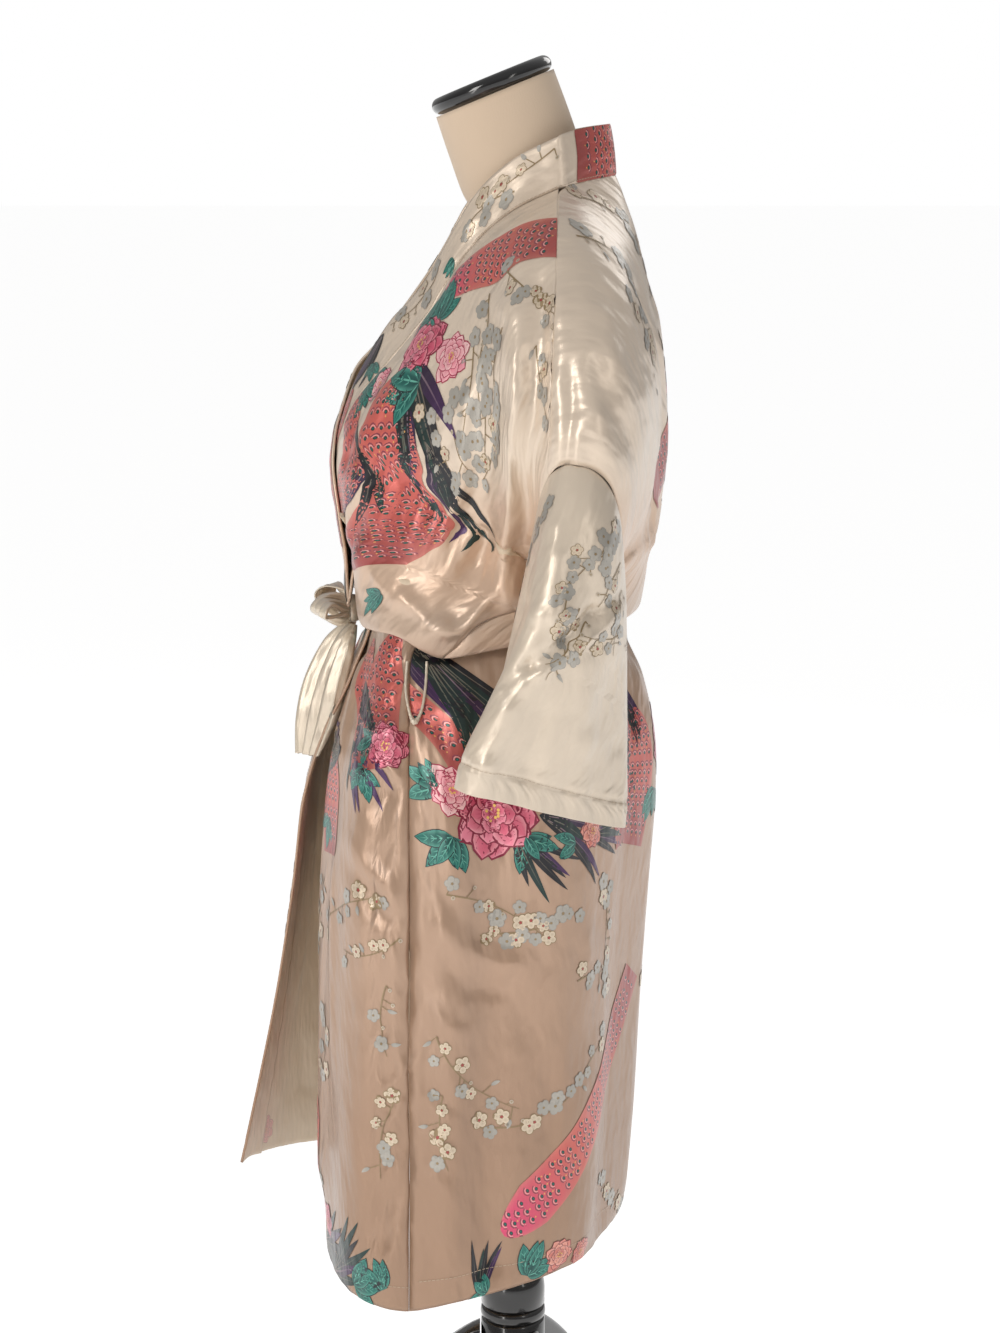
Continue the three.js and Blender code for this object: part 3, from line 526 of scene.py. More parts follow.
def flat_lengths(points, axis):
    step = np.linalg.norm(np.diff(points, axis=axis), axis=-1)
    start = np.zeros_like(np.take(step, [0], axis=axis))
    return np.cumsum(np.concatenate([start, step], axis=axis), axis=axis)


def mesh_object(name, vertices, faces, materials, face_material=None, uv=None, print_and_painted_shade=None):
    mesh = bpy.data.meshes.new(name)
    mesh.from_pydata(np.asarray(vertices).tolist(), [], [tuple(map(int, f)) for f in faces])
    for material in materials:
        mesh.materials.append(material)
    if face_material is not None:
        mesh.polygons.foreach_set("material_index", np.asarray(face_material, np.int32))
    mesh.polygons.foreach_set("use_smooth", np.full(len(mesh.polygons), True))
    corners = np.zeros(len(mesh.loops), np.int32)
    mesh.loops.foreach_get("vertex_index", corners)
    if uv is not None:
        mesh.uv_layers.new(name="cut").data.foreach_set("uv", np.asarray(uv, np.float32)[corners].ravel())
    if print_and_painted_shade is not None:
        colours = np.concatenate([print_and_painted_shade, np.ones((len(print_and_painted_shade), 1))], 1).astype(np.float32)
        mesh.attributes.new("print_and_painted_shade", "FLOAT_COLOR", "POINT").data.foreach_set("color", colours.ravel())
    mesh.update()
    piece = bpy.data.objects.new(name, mesh)
    scene.collection.objects.link(piece)
    return piece


def to_metres(points):
    return (points + np.array([0, SHIFT_Y, 0])) / 1000


def grid_faces(rows, columns, around, first=0, flip=False):
    spans = columns if around else columns - 1
    j, i = np.meshgrid(np.arange(rows - 1), np.arange(spans), indexing="ij")
    n = (i + 1) % columns
    faces = np.stack([j * columns + i, (j + 1) * columns + i, (j + 1) * columns + n, j * columns + n], -1)
    faces = faces.reshape(-1, 4) + first
    return faces[:, ::-1] if flip else faces


def shell(name, points, around, materials, thick=WALL, out=None, tint=None):
    rows, columns = points.shape[:2]
    out = normals_of(points, around) if out is None else out
    inner = points - out * thick
    size = rows * columns
    across = flat_lengths(points, 1)
    down = flat_lengths(points, 0)
    uv = np.stack([across - across.mean(), -down], -1).reshape(-1, 2) / 1000
    face_sets = [grid_faces(rows, columns, around), grid_faces(rows, columns, around, size, True)]
    top, bottom = np.arange(columns), (rows - 1) * columns + np.arange(columns)
    if around:
        top, bottom = np.append(top, top[0]), np.append(bottom, bottom[0])
    rims = [top[::-1], bottom]
    if not around:
        left = np.arange(rows) * columns
        rims += [left, (left + columns - 1)[::-1]]
    for line in rims:
        face_sets.append(np.stack([line[:-1], line[:-1] + size, line[1:] + size, line[1:]], -1))
    faces = np.concatenate(face_sets)
    which = np.zeros(len(faces), np.int32)
    which[len(face_sets[0]):len(face_sets[0]) + len(face_sets[1])] = 1
    vertices = np.concatenate([points.reshape(-1, 3), inner.reshape(-1, 3)])
    print_and_painted_shade = None if tint is None else np.concatenate([tint.reshape(-1, 3)] * 2)
    piece = mesh_object(name, to_metres(vertices), faces, materials, which, np.concatenate([uv, uv]), print_and_painted_shade)
    pieces[name] = {"points": points, "out": out, "across": across, "down": down, "thick": thick,
                    "cut": uv.reshape(rows, columns, 2), "object": piece}
    print(name, "faces:", len(faces), "width mm:", round(float(across[:, -1].max())),
          "length mm:", round(float(down[-1].max())))
    return piece

# %% [markdown]
# ## Materials
# Satin is woven so that long threads float on its face: it is smooth and shines along them. Here that is a fairly
# low roughness, some anisotropy, a thin clear sheen on top and a very fine bump that runs along the threads. The
# wrong side of satin is dull, so it gets its own material. Printed colours, and the cloth's own colour with painted
# shade darkening it towards the hem, live on the mesh as an attribute.

# %% Colours
def colour(red, green, blue):
    value = np.array([red, green, blue], float) / 255
    return np.where(value <= 0.04045, value / 12.92, ((value + 0.055) / 1.055) ** 2.4)


CREAM = colour(222, 204, 184)
# The two tans below are painted shade: the same cream cloth, darkened for the lower body where less light falls.
PAINTED_SHADE_TAN = colour(182, 150, 126)
PAINTED_DEEP_SHADE_TAN = colour(164, 131, 106)
PEACH = colour(214, 178, 150)
PLAIN = colour(216, 202, 182)
WRONG_SIDE, PLAIN_WRONG_SIDE = colour(214, 194, 168), colour(205, 194, 176)
print("cloth cream:", CREAM, "plain band:", PLAIN)


# %% Satin
def principled(name, base=None):
    material = bpy.data.materials.new(name)
    material.use_nodes = True
    shader = material.node_tree.nodes["Principled BSDF"]
    if base is not None:
        shader.inputs["Base Color"].default_value = (*base, 1)
    return material, material.node_tree.nodes, material.node_tree.links, shader


def fine_bump(nodes, links, shader, coordinate, scales, strength, distance, detail=3.0):
    mapping = nodes.new("ShaderNodeMapping")
    mapping.inputs["Scale"].default_value = scales
    noise = nodes.new("ShaderNodeTexNoise")
    noise.inputs["Scale"].default_value = 1
    noise.inputs["Detail"].default_value = detail
    bump = nodes.new("ShaderNodeBump")
    bump.inputs["Strength"].default_value = strength
    bump.inputs["Distance"].default_value = distance
    links.new(coordinate, mapping.inputs["Vector"])
    links.new(mapping.outputs["Vector"], noise.inputs["Vector"])
    links.new(noise.outputs["Fac"], bump.inputs["Height"])
    links.new(bump.outputs["Normal"], shader.inputs["Normal"])
    return bump


def satin(name, base=None, roughness=0.32, coat=0.25):
    material, nodes, links, shader = principled(name, base)
    shader.inputs["Roughness"].default_value = roughness
    shader.inputs["Metallic"].default_value = 0.3 if coat else 0.0
    shader.inputs["Anisotropic"].default_value = 0.45
    shader.inputs["Specular IOR Level"].default_value = 0.62
    shader.inputs["Coat Weight"].default_value = coat
    shader.inputs["Coat Roughness"].default_value = 0.22
    shader.inputs["Sheen Weight"].default_value = 0.12
    shader.inputs["Sheen Roughness"].default_value = 0.4
    where = nodes.new("ShaderNodeUVMap")
    where.uv_map = "cut"
    threads = fine_bump(nodes, links, shader, where.outputs["UV"], (1500, 260, 1), 0.35, 0.00025)
    rumple = fine_bump(nodes, links, shader, where.outputs["UV"], (46, 20, 1), 0.8, 0.006, 2.0)
    links.new(rumple.outputs["Normal"], threads.inputs["Normal"])
    links.new(threads.outputs["Normal"], shader.inputs["Normal"])
    if base is None:
        # This colour attribute holds the print on the print pieces, and on the body panels and neckbands the cloth
        # colour with painted shade.
        print_and_painted_shade = nodes.new("ShaderNodeAttribute")
        print_and_painted_shade.attribute_name = "print_and_painted_shade"
        cloudy = nodes.new("ShaderNodeTexNoise")
        cloudy.inputs["Scale"].default_value = 14
        cloudy.inputs["Detail"].default_value = 2
        tone = nodes.new("ShaderNodeMapRange")
        tone.inputs["To Min"].default_value = 0.94
        tone.inputs["To Max"].default_value = 1.04
        mixed = nodes.new("ShaderNodeVectorMath")
        mixed.operation = "SCALE"
        links.new(where.outputs["UV"], cloudy.inputs["Vector"])
        links.new(cloudy.outputs["Fac"], tone.inputs["Value"])
        links.new(print_and_painted_shade.outputs["Color"], mixed.inputs[0])
        links.new(tone.outputs["Result"], mixed.inputs["Scale"])
        links.new(mixed.outputs["Vector"], shader.inputs["Base Color"])
    return material


satin_face = satin("satin_face")
satin_wrong_side = satin("satin_wrong_side", WRONG_SIDE, roughness=0.5, coat=0.0)
plain_satin = satin("plain_satin", PLAIN)
plain_wrong_side = satin("plain_wrong_side", PLAIN_WRONG_SIDE, roughness=0.55, coat=0.0)
printed_wrong_side = satin("printed_wrong_side", None, roughness=0.5, coat=0.0)
print("satin finishes:", 5)

# %% [markdown]
# ## Body panels
# The two fronts and the back are grids over the same sections. They meet at the side seams and at the shoulder
# line. Real seams pull the cloth in a little, so the surface dips for two millimetres along each one.

# %% Body panels
levels = np.concatenate([
    np.linspace(0, 6, 80)[:-1], np.linspace(6, 9.6, 38)[:-1],
    np.linspace(9.6, 15, 26)[:-1], np.linspace(15, 22, 112),
])[:, None]


def wobble(a, b, size, seed):
    """Soft uneven waves over two lengths in millimetres, about one high."""
    made = np.random.default_rng(seed)
    total = np.zeros(np.broadcast(a, b).shape)
    for k in range(6):
        turn, start = made.uniform(0, 2 * np.pi, 2)
        pace = 2 * np.pi / (size * made.uniform(0.7, 1.5))
        total += np.sin(pace * (np.cos(turn) * a + np.sin(turn) * b) + start)
    return total / 3


def draped(points, out, level):
    point = points + out * large_folds(points, out, level)[..., None]
    return point + out * fine_creases(point, out, level)[..., None]


# Painted shade: the cloth runs from cream at the chest to tan and a deeper tan towards the hem, as light from above
# falls off. A peach band lies over the blousing.
def body_colour_and_painted_shade(points):
    down = smooth(1000, 780, points[..., 2])[..., None]
    low = smooth(1010, 930, points[..., 2]) * smooth(870, 900, points[..., 2])
    shade = mix(PAINTED_SHADE_TAN, PAINTED_DEEP_SHADE_TAN, smooth(700, 420, points[..., 2])[..., None])
    return mix(mix(CREAM, shade, down), PEACH, 0.6 * low[..., None])


def side_seam_dip(points, edges):
    across = flat_lengths(points, 1)
    width = across[:, -1:]
    depth = np.zeros(points.shape[:-1])
    for edge in edges:
        distance = across if edge == "first" else width - across
        depth += 0.9 * np.exp(-((distance / 2.4) ** 2))
    return depth


def panel(name, point_at, columns, edges, node):
    u = np.asarray(columns)[None, :]
    points = point_at(levels, u)
    out = normals_of(points, False)
    out[0, :, 1] = 0
    out[0] /= np.linalg.norm(out[0], axis=-1, keepdims=True)
    points = draped(points, out, levels)
    out = normals_of(points, False)
    across, down = flat_lengths(points, 1), flat_lengths(points, 0)
    points = points + out * (0.35 * wobble(across, down * 0.5, 46, len(name)) * (levels < 9.6) +
                             0.45 * wobble(across, down * 0.35, 60, 3) * (levels > 15))[..., None]
    points = points - out * side_seam_dip(points, edges)[..., None]
    hem_distance = down[-1] - down
    hem_line = np.exp(-(((hem_distance - 18) / 3) ** 2)) + 0.6 * np.exp(-((hem_distance / 14) ** 2))
    points = points - out * (hem_line * (0.5 + 0.5 * wobble(across, hem_distance * 0.3, 22, 5)))[..., None]
    # The cloth colour carries painted shade, darker towards the hem.
    piece = shell(name, points, False, [satin_face, satin_wrong_side], tint=body_colour_and_painted_shade(points))
    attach(piece, "root")
    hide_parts(node)
    print("  cloth used, square metres:", round(sum(face.area for face in piece.data.polygons) / 2, 3))
    return piece


front_steps = np.linspace(0, 1, 78)
panel("left_front_panel", lambda v, u: front_point(1, v, u), front_steps, ["first", "last"], "front_left")
panel("right_front_panel", lambda v, u: front_point(-1, v, u), front_steps[::-1], ["first", "last"],
      "front_right")
panel("back_panel", back_point, np.linspace(1, 0, 118), ["first", "last"], "back")

# %% [markdown]
# ## Sleeves
# Each sleeve is one straight piece sewn into a tube. It hangs from a dropped seam, leans outwards over the arm hole
# and is wider than it is deep. Its cuff has a turned hem 20 mm wide, which draws the edge into small ripples.

# %% Sleeves
sleeve_creases = [
    [-3.4, 5, [(82, 910), (60, 899), (36, 881), (10, 864), (-6, 850)]],
    [3.0, 6, [(80, 898), (52, 882), (18, 858)]],
    [2.0, 7, [(30, 940), (16, 900), (-4, 872)]],
    [1.8, 9, [(26, 960), (30, 900), (10, 850)]],
    [-1.4, 8, [(48, 955), (56, 900), (50, 850)]],
    [2.6, 9, [(-4, 830), (-20, 790), (-36, 752)]],
    [-2.4, 9, [(22, 826), (10, 785), (2, 745)]],
    [2.4, 9, [(50, 860), (54, 800), (44, 730)]],
    [-1.8, 8, [(72, 850), (78, 790), (76, 735)]],
    [-1.6, 6, [(-6, 940), (4, 905), (-2, 870)]],
]


def tube_normals(points):
    """Normals of a tube whose last column lies on its first."""
    out = normals_of(points[:, :-1], True)
    return np.concatenate([out, out[:, :1]], axis=1)


def sleeve_panel(side, name, node):
    v = np.concatenate([np.linspace(0.0, 4.6, 88)[:-1], np.linspace(4.6, 5, 14)])[:, None]
    degrees = np.linspace(180, 540, 115)[None, :]
    points = sleeve_point(side, v, side * degrees)
    points[:, -1] = points[:, 0]
    out = tube_normals(points)
    height = np.zeros(points.shape[:-1])
    for rise, width, line in sleeve_creases:
        for start, end in zip(line, line[1:]):
            distance, _ = line_distance(points[..., 1], points[..., 2], start, end)
            facing = np.clip(side * out[..., 0], 0, None)
            height += 1.35 * rise * facing * np.exp(-((distance / width) ** 2))
    around, down = flat_lengths(points, 1), flat_lengths(points, 0)
    to_cuff = down[-1] - down
    folds = 2.6 * np.sin(np.radians(degrees * 3 + 40)) + 1.7 * np.sin(np.radians(degrees * 5 + 100))
    height += folds * smooth(20, 160, down)
    height += 0.4 * wobble(around, down * 0.5, 44, 11 + side)
    height -= 0.5 * np.exp(-((down / 2.4) ** 2))
    ripple = np.sin(np.radians(degrees) * 34 + 2.5 * np.sin(np.radians(degrees) * 3))
    height += 0.8 * ripple * np.exp(-(((to_cuff - 17) / 9) ** 2)) - 1.1 * np.exp(-(((to_cuff - 20) / 2.2) ** 2))
    points = points + out * height[..., None]
    points[:, -1] = points[:, 0]
    tint = np.broadcast_to(mix(PLAIN, CREAM, 0.5), points.shape)
    piece = shell(name, points, False, [satin_face, satin_wrong_side], tint=tint, out=tube_normals(points))
    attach(piece, "root")
    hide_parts(node)
    return piece


sleeve_panel(1, "left_sleeve_tube", "sleeve_left")
sleeve_panel(-1, "right_sleeve_tube", "sleeve_right")

# %% [markdown]
# ## Neckband
# A band 40 mm wide, folded double, runs from hem to hem round the neck. It stands up behind the neck and lies in
# the front's own surface from the chest down, where the right one covers the left.

# %% Neckband
NECKBAND_WIDTH = 40


def neckband(side, name, node):
    front = pieces["left_front_panel" if side > 0 else "right_front_panel"]
    edge, inner = (0, 4) if side > 0 else (-1, -5)
    v = levels[:, 0]
    seam = front["points"][:, edge]
    into = seam - front["points"][:, inner]
    into /= np.linalg.norm(into, axis=-1, keepdims=True)
    stand = along(edge_rows, "stand", v)[:, None]
    lean = np.array([-0.12 * side, 0, 0])
    direction = into * (1 - stand) + lean + np.array([0, 0, 1.0]) * stand
    direction /= np.linalg.norm(direction, axis=-1, keepdims=True)
    across = np.linspace(0.1, NECKBAND_WIDTH, 15)
    standing = seam[:, None] + direction[:, None] * across[None, :, None]
    base = front_point(side, levels, np.zeros((1, 1)))
    share = np.linalg.norm(base - front_point(side, levels, np.full((1, 1), 0.1)), axis=-1) * 10
    lying = front_point(side, levels, -across[None, :] / share)
    lying = lying + seam[:, None] - base
    blend = smooth(4, 6, levels)[..., None]
    body = mix(standing, lying, blend)[::-1]
    x = np.linspace(65, 0.05, 34)[1:]
    degrees = np.degrees(np.arcsin(np.clip(x / sleeve_point(1, np.array(0.0), np.array(-50.0))[0], -1, 1)))
    neck = body_point("B", np.full_like(x, 0.02), degrees)
    neck[:, 0] *= side
    up = np.stack([-side * 0.12 * x / 65, np.full_like(x, -0.12), np.ones_like(x)], -1)
    up /= np.linalg.norm(up, axis=-1, keepdims=True)
    points = np.concatenate([body, neck[:, None] + up[:, None] * across[None, :, None]])[::-1]
    if side > 0:
        points = points[:, ::-1]
    out = normals_of(points, False)
    down = flat_lengths(points, 0)
    width = np.linspace(1, 0, 15) if side > 0 else np.linspace(0, 1, 15)
    roll = 1.1 * np.sin(np.pi * width) + 0.5 * wobble(down, width * 20, 30, 9) * np.sin(np.pi * width)
    puckers = 0.35 * np.sin(down / 4.1 + 1.5 * np.sin(down / 23)) * np.exp(-((width / 0.16) ** 2))
    points = points + out * (roll + puckers)[..., None]
    # The band takes the body's cloth colour, with its painted shade darker towards the hem.
    tint = body_colour_and_painted_shade(points)
    piece = shell(name, points, False, [satin_face, satin_wrong_side], thick=2.2, tint=tint)
    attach(piece, "root")
    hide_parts(node)


neckband(1, "left_neckband", "neckband_left")
neckband(-1, "right_neckband", "neckband_right")

# %% [markdown]
# ## Belt
# The belt is a long flat band of the same satin without its print. Only its bow shows: the bodice hangs over the
# rest.

# %% Belt
WAIST_LEVEL, BELT_WIDTH, BELT_THICK = 13.5, 26, 2.4


def belt_points():
    degrees = np.linspace(0, 360, 121)[None, :-1]
    level = np.linspace(1, -1, 9)[:, None]
    front = (degrees < 90) | (degrees > 270)
    angle = np.where(front, np.where(degrees > 180, degrees - 360, degrees), 180 - degrees)
    point = np.where(front[..., None], body_point("F", np.full_like(angle, WAIST_LEVEL), angle),
                     body_point("B", np.full_like(angle, WAIST_LEVEL), angle))
    out_x, out_y = point[..., 0] / 120, (point[..., 1] + 18) / 100
    length = np.hypot(out_x, out_y)
    over = np.where(angle < 25, smooth(-88, -30, angle), smooth(44, 25, angle))
    lap = np.where(front, (edge_rows["lap"][TUCKED_ROW] + 1) * over, 0)
    clear = BELT_THICK + 1.6
    x, y = point[..., 0] + out_x / length * clear, point[..., 1] + out_y / length * clear - lap
    x, y, level = np.broadcast_arrays(x, y, level)
    return np.stack([x, y, BELT_MIDDLE + level * BELT_WIDTH / 2 + 0 * x], -1)


belt = shell("waist_belt", belt_points(), True, [plain_satin, plain_wrong_side], thick=BELT_THICK)
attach(belt, "root")
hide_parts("belt")

# %% [markdown]
# ## Bow
# A tied band crumples into long pleats, so each loop and tail is a strip whose section is a shallow wave. The knot
# is a small pleated lump between them.

# %% Bow
loop_rows = table("x y z wideX wideY wideZ pleat", [
    [18.4, -133, 857, 1, 0, 6, 0.6],
    [26, -138, 856, 8, 2, 7, 1.5],
    [40, -147, 860, 17, 5, 3, 2],
    [52, -153, 864, 20, 7, 0, 1.5],
    [54, -152, 870, 20, 7, 0, 1.5],
    [43, -147, 873, 17, 5, -2, 1.5],
    [27, -139, 869, 9, 2, -6, 1],
    [18.4, -133, 866, 1, 0, -6, 0.6],
])
left_tail_rows = table("x y z wideX wideY wideZ pleat", [
    [13, -131, 850, 7, 4, 0, 1.5],
    [20, -139, 836, 11, 10, 0, 3.5],
    [27, -150, 806, 12, 14, 0, 4.5],
    [31, -158, 775, 10, 14, 0, 4],
    [33, -166, 746, 7, 9, 0, 2],
])
right_tail_rows = table("x y z wideX wideY wideZ pleat", [
    [-7, -132, 850, 8, -3, 0, 1.5],
    [-15, -141, 834, 13, -7, 0, 3.5],
    [-23, -154, 800, 16, -9, 0, 4.5],
    [-28, -162, 764, 16, -9, 0, 4],
    [-30, -168, 736, 14, -8, 0, 2],
])
KNOT = np.array([4, -130.6, 861])


def strap(name, node, rows, seed, turned_over=False):
    v = np.linspace(0, len(rows["x"]) - 1, 52)[:, None]
    u = np.linspace(-1, 1, 33)[None, :]
    at = lambda column: along(rows, column, v)
    flip = -1 if turned_over else 1
    x = 2 * KNOT[0] - at("x") if turned_over else at("x")
    made = np.random.default_rng(seed)
    shift = made.uniform(-0.6, 0.6, 3)
    pleat = np.cos(3 * np.pi * u + shift[0]) + 0.35 * np.cos(7 * np.pi * u + 0.5 * v + shift[1])
    points = np.stack([
        x + u * at("wideX"),
        at("y") + flip * u * at("wideY") + at("pleat") * pleat,
        at("z") + flip * u * at("wideZ") + 0.5 * np.sin(5 * u + v + shift[2]),
    ], -1)
    piece = shell(name, points, False, [plain_satin, plain_satin], thick=1.1)
    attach(piece, "root")
    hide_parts(node)


strap("left_bow_loop", "bow_loop_left", loop_rows, 1)
strap("right_bow_loop", "bow_loop_right", loop_rows, 2, True)
strap("left_bow_tail", "bow_tail_left", left_tail_rows, 3)
strap("right_bow_tail", "bow_tail_right", right_tail_rows, 4)

angle = np.linspace(0, 2 * np.pi, 49)[:-1][None, :]
height = np.linspace(-np.pi / 2, np.pi / 2, 29)[::-1][:, None]
pleated = 1 + 0.07 * np.cos(5 * angle + 2.2 * np.sin(height)) * np.cos(height)
knot_points = KNOT + np.stack([
    15 * power(np.cos(height) * np.cos(angle), 0.85) * pleated,
    10 * power(np.cos(height) * np.sin(angle), 0.85) * pleated,
    11 * power(np.sin(height), 0.85) + 0 * angle,
], -1)
knot = mesh_object("bow_knot_lump", to_metres(knot_points.reshape(-1, 3)),
                   grid_faces(29, 48, True), [plain_satin], uv=np.stack([
                       np.broadcast_to(angle * 0.012, (29, 48)), np.broadcast_to(height * 0.01, (29, 48))],
                       -1).reshape(-1, 2))
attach(knot, "root")
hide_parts("bow_knot")

# %% [markdown]
# ## Carrier loops
# Two thin cords, sewn into the side seams at both ends, keep the belt at its height. Each is a tube along a short
# path, with a small knot at its lowest point.

# %% Carrier loops
carrier_path = np.array([[-82, 841], [-83, 822], [-80, 806], [-76, 799], [-71, 806], [-68, 822], [-67, 841]])


def tube(path, radius, sides=12):
    """Rings of points round a path, with the frame carried along it."""
    forward = np.gradient(path, axis=0)
    forward /= np.linalg.norm(forward, axis=-1, keepdims=True)
    side = np.cross(forward, [1.0, 0, 0])
    side /= np.linalg.norm(side, axis=-1, keepdims=True)
    other = np.cross(forward, side)
    turn = np.linspace(0, 2 * np.pi, sides + 1)[:-1]
    ring = np.cos(turn)[None, :, None] * side[:, None] + np.sin(turn)[None, :, None] * other[:, None]
    return path[:, None] + ring * np.broadcast_to(radius, (len(path),))[:, None, None]


def carrier(side, name, node):
    v = np.linspace(0, len(carrier_path) - 1, 90)
    y, z = (along({"c": carrier_path[:, k].astype(float)}, "c", v) for k in (0, 1))
    level = np.clip(15 + (838 - z) / 32, 14.9, 17)
    x = side * (body_point("B", level, np.full_like(level, 88.0))[:, 0] + 3.6)
    radius = 1.15 + 1.4 * np.exp(-(((v / (len(carrier_path) - 1) - 0.5) / 0.08) ** 2))
    radius = radius * (1 + 0.08 * np.sin(v * 24))
    path = np.stack([x, y, z], -1)
    points = tube(path, radius)
    print(name, "length mm:", round(float(flat_lengths(path, 0)[-1])))
    made = mesh_object(name, to_metres(points.reshape(-1, 3)), grid_faces(90, 12, True), [plain_satin],
                       uv=np.tile(np.linspace(0, 0.01, 12), 90)[:, None] * np.array([[1.0, 0.3]]))
    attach(made, "root")
    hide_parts(node)


carrier(1, "left_carrier_cord", "carrier_loop_left")
carrier(-1, "right_carrier_cord", "carrier_loop_right")

# %% [markdown]
# ## The dress form and its stand
# The form is a padded shell covered in fine jersey, smooth and with no limbs. Its neck leans forward and ends in a
# polished cap. Below it a pole goes into a turned hub with three curved legs, all lacquered black.

# %% Dress form
form_rows = table("z y halfX halfY tilt", [
    [612, -22, 160, 102, 0],
    [680, -22, 164, 106, 0],
    [760, -20, 150, 98, 0],
    [830, -16, 116, 86, 0],
    [872, -14, 103, 80, 0],
    [930, -14, 115, 90, 0],
    [1000, -12, 134, 100, 0],
    [1060, 0, 150, 92, 0],
    [1105, 13, 163, 66, 0],
    [1132, 21, 156, 47, 0],
    [1156, 24, 118, 40, 0],
    [1176, 20, 76, 44, 2],
    [1192, 12, 56, 50, 6],
    [1230, -1, 49, 49, 14],
    [1269, -15, 46, 46, 22],
])
jersey, nodes, links, shader = principled("jersey_cover", colour(206, 184, 160))
shader.inputs["Roughness"].default_value = 0.85
shader.inputs["Sheen Weight"].default_value = 0.25
place = nodes.new("ShaderNodeTexCoord")
fine_bump(nodes, links, shader, place.outputs["Object"], (900, 900, 300), 0.4, 0.0003)


def form_points(rows=96, sides=96):
    v = np.linspace(0, len(form_rows["z"]) - 1, rows)[:, None]
    turn = np.linspace(0, 2 * np.pi, sides + 1)[:-1][None, :]
    at = lambda name: along(form_rows, name, v)
    x = at("halfX") * power(np.cos(turn), 0.92)
    y = at("halfY") * power(np.sin(turn), 0.92)
    return np.stack([x, at("y") + y, at("z") + y * np.tan(np.radians(at("tilt")))], -1)


def capped(points):
    """Faces for rings of points from bottom to top, with a flat lid on both ends."""
    rows, sides = points.shape[:2]
    faces = [list(face) for face in grid_faces(rows, sides, True, flip=True)]
    faces += [list(range(sides))[::-1], list(range((rows - 1) * sides, rows * sides))]
    return faces


body = form_points()
form = mesh_object("dress_form_body", to_metres(body.reshape(-1, 3)), capped(body), [jersey])
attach(form, "root")
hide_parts("dress_form")
print("form faces:", len(form.data.polygons))

# %% [markdown]
# ## Cap and stand
# The cap, the hub and the pole are turned on a lathe, so each is a profile spun round the upright axis. A leg is
# sawn from a board, so two curves give its upper and its lower edge.

# %% Cap and stand
gloss_cap, nodes, links, shader = principled("polished_cap", colour(14, 13, 14))
shader.inputs["Roughness"].default_value = 0.16
shader.inputs["Coat Weight"].default_value = 0.6
shader.inputs["Coat Roughness"].default_value = 0.05
place = nodes.new("ShaderNodeTexCoord")
fine_bump(nodes, links, shader, place.outputs["Object"], (60, 60, 60), 0.05, 0.0004)

lacquer, nodes, links, shader = principled("black_lacquer", colour(15, 13, 13))
shader.inputs["Roughness"].default_value = 0.2
shader.inputs["Coat Weight"].default_value = 0.7
shader.inputs["Coat Roughness"].default_value = 0.08
place = nodes.new("ShaderNodeTexCoord")
fine_bump(nodes, links, shader, place.outputs["Object"], (240, 240, 14), 0.12, 0.0004)


def turned(name, profile, material, sides=72):
    """A turned piece: (radius, height) points round the upright axis, from bottom to top, with lids."""
    profile = np.asarray(profile, float)
    turn = np.linspace(0, 2 * np.pi, sides + 1)[:-1]
    rings = np.stack([profile[:, :1] * np.cos(turn), profile[:, :1] * np.sin(turn),
                      np.broadcast_to(profile[:, 1:], (len(profile), sides))], -1)
    piece = mesh_object(name, rings.reshape(-1, 3) / 1000, capped(rings), [material])
    piece.data.set_sharp_from_angle(angle=math.radians(40))
    return piece


cap_half = 6.5
edge = np.radians(np.linspace(-84, 84, 19))
cap_profile = [(43.5, -cap_half)] + [(43.5 + cap_half * math.cos(a), cap_half * math.sin(a)) for a in edge]
cap_profile += [(43.5, cap_half), (20, cap_half + 0.01)]
cap = turned("polished_neck_cap", cap_profile, gloss_cap)
tilt = math.radians(22)
top_y, top_z = form_rows["y"][-1], form_rows["z"][-1]
seat = cap_half + 0.3
cap_place = Vector((0, (top_y + SHIFT_Y - math.sin(tilt) * seat) / 1000,
                    (top_z + math.cos(tilt) * seat) / 1000))
cap.data.transform(Matrix.Translation(cap_place) @ Matrix.Rotation(tilt, 4, "X"))
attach(cap, "root")
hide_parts("neck_cap")


def upright(name, node, profile):
    piece = turned(name, profile, lacquer)
    piece.data.transform(Matrix.Translation(Vector((0, SHIFT_Y / 1000, 0))))
    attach(piece, "root")
    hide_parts(node)


upright("upright_pole", "pole", [(11, 300.3), (11, 611.7)])
upright("turned_hub", "stand_hub", [
    (20, 196), (21.5, 196.2), (25.8, 198.6), (27, 201.5), (27, 250), (26.2, 251), (24.8, 252), (26.2, 253),
    (27.2, 254.4), (27.6, 257.5), (27.2, 260.6), (26.2, 262), (24.8, 263), (26.2, 264), (27, 265.2), (27, 279),
    (26.4, 284), (25, 288.5), (22.5, 292.5), (20, 295), (15.5, 298.4), (13, 300),
])


def bezier(a, b, c, d, count=16):
    t = np.linspace(0, 1, count)[:, None]
    return (1 - t) ** 3 * a + 3 * (1 - t) ** 2 * t * b + 3 * (1 - t) * t * t * c + t ** 3 * d


LEG_COUNT = 3


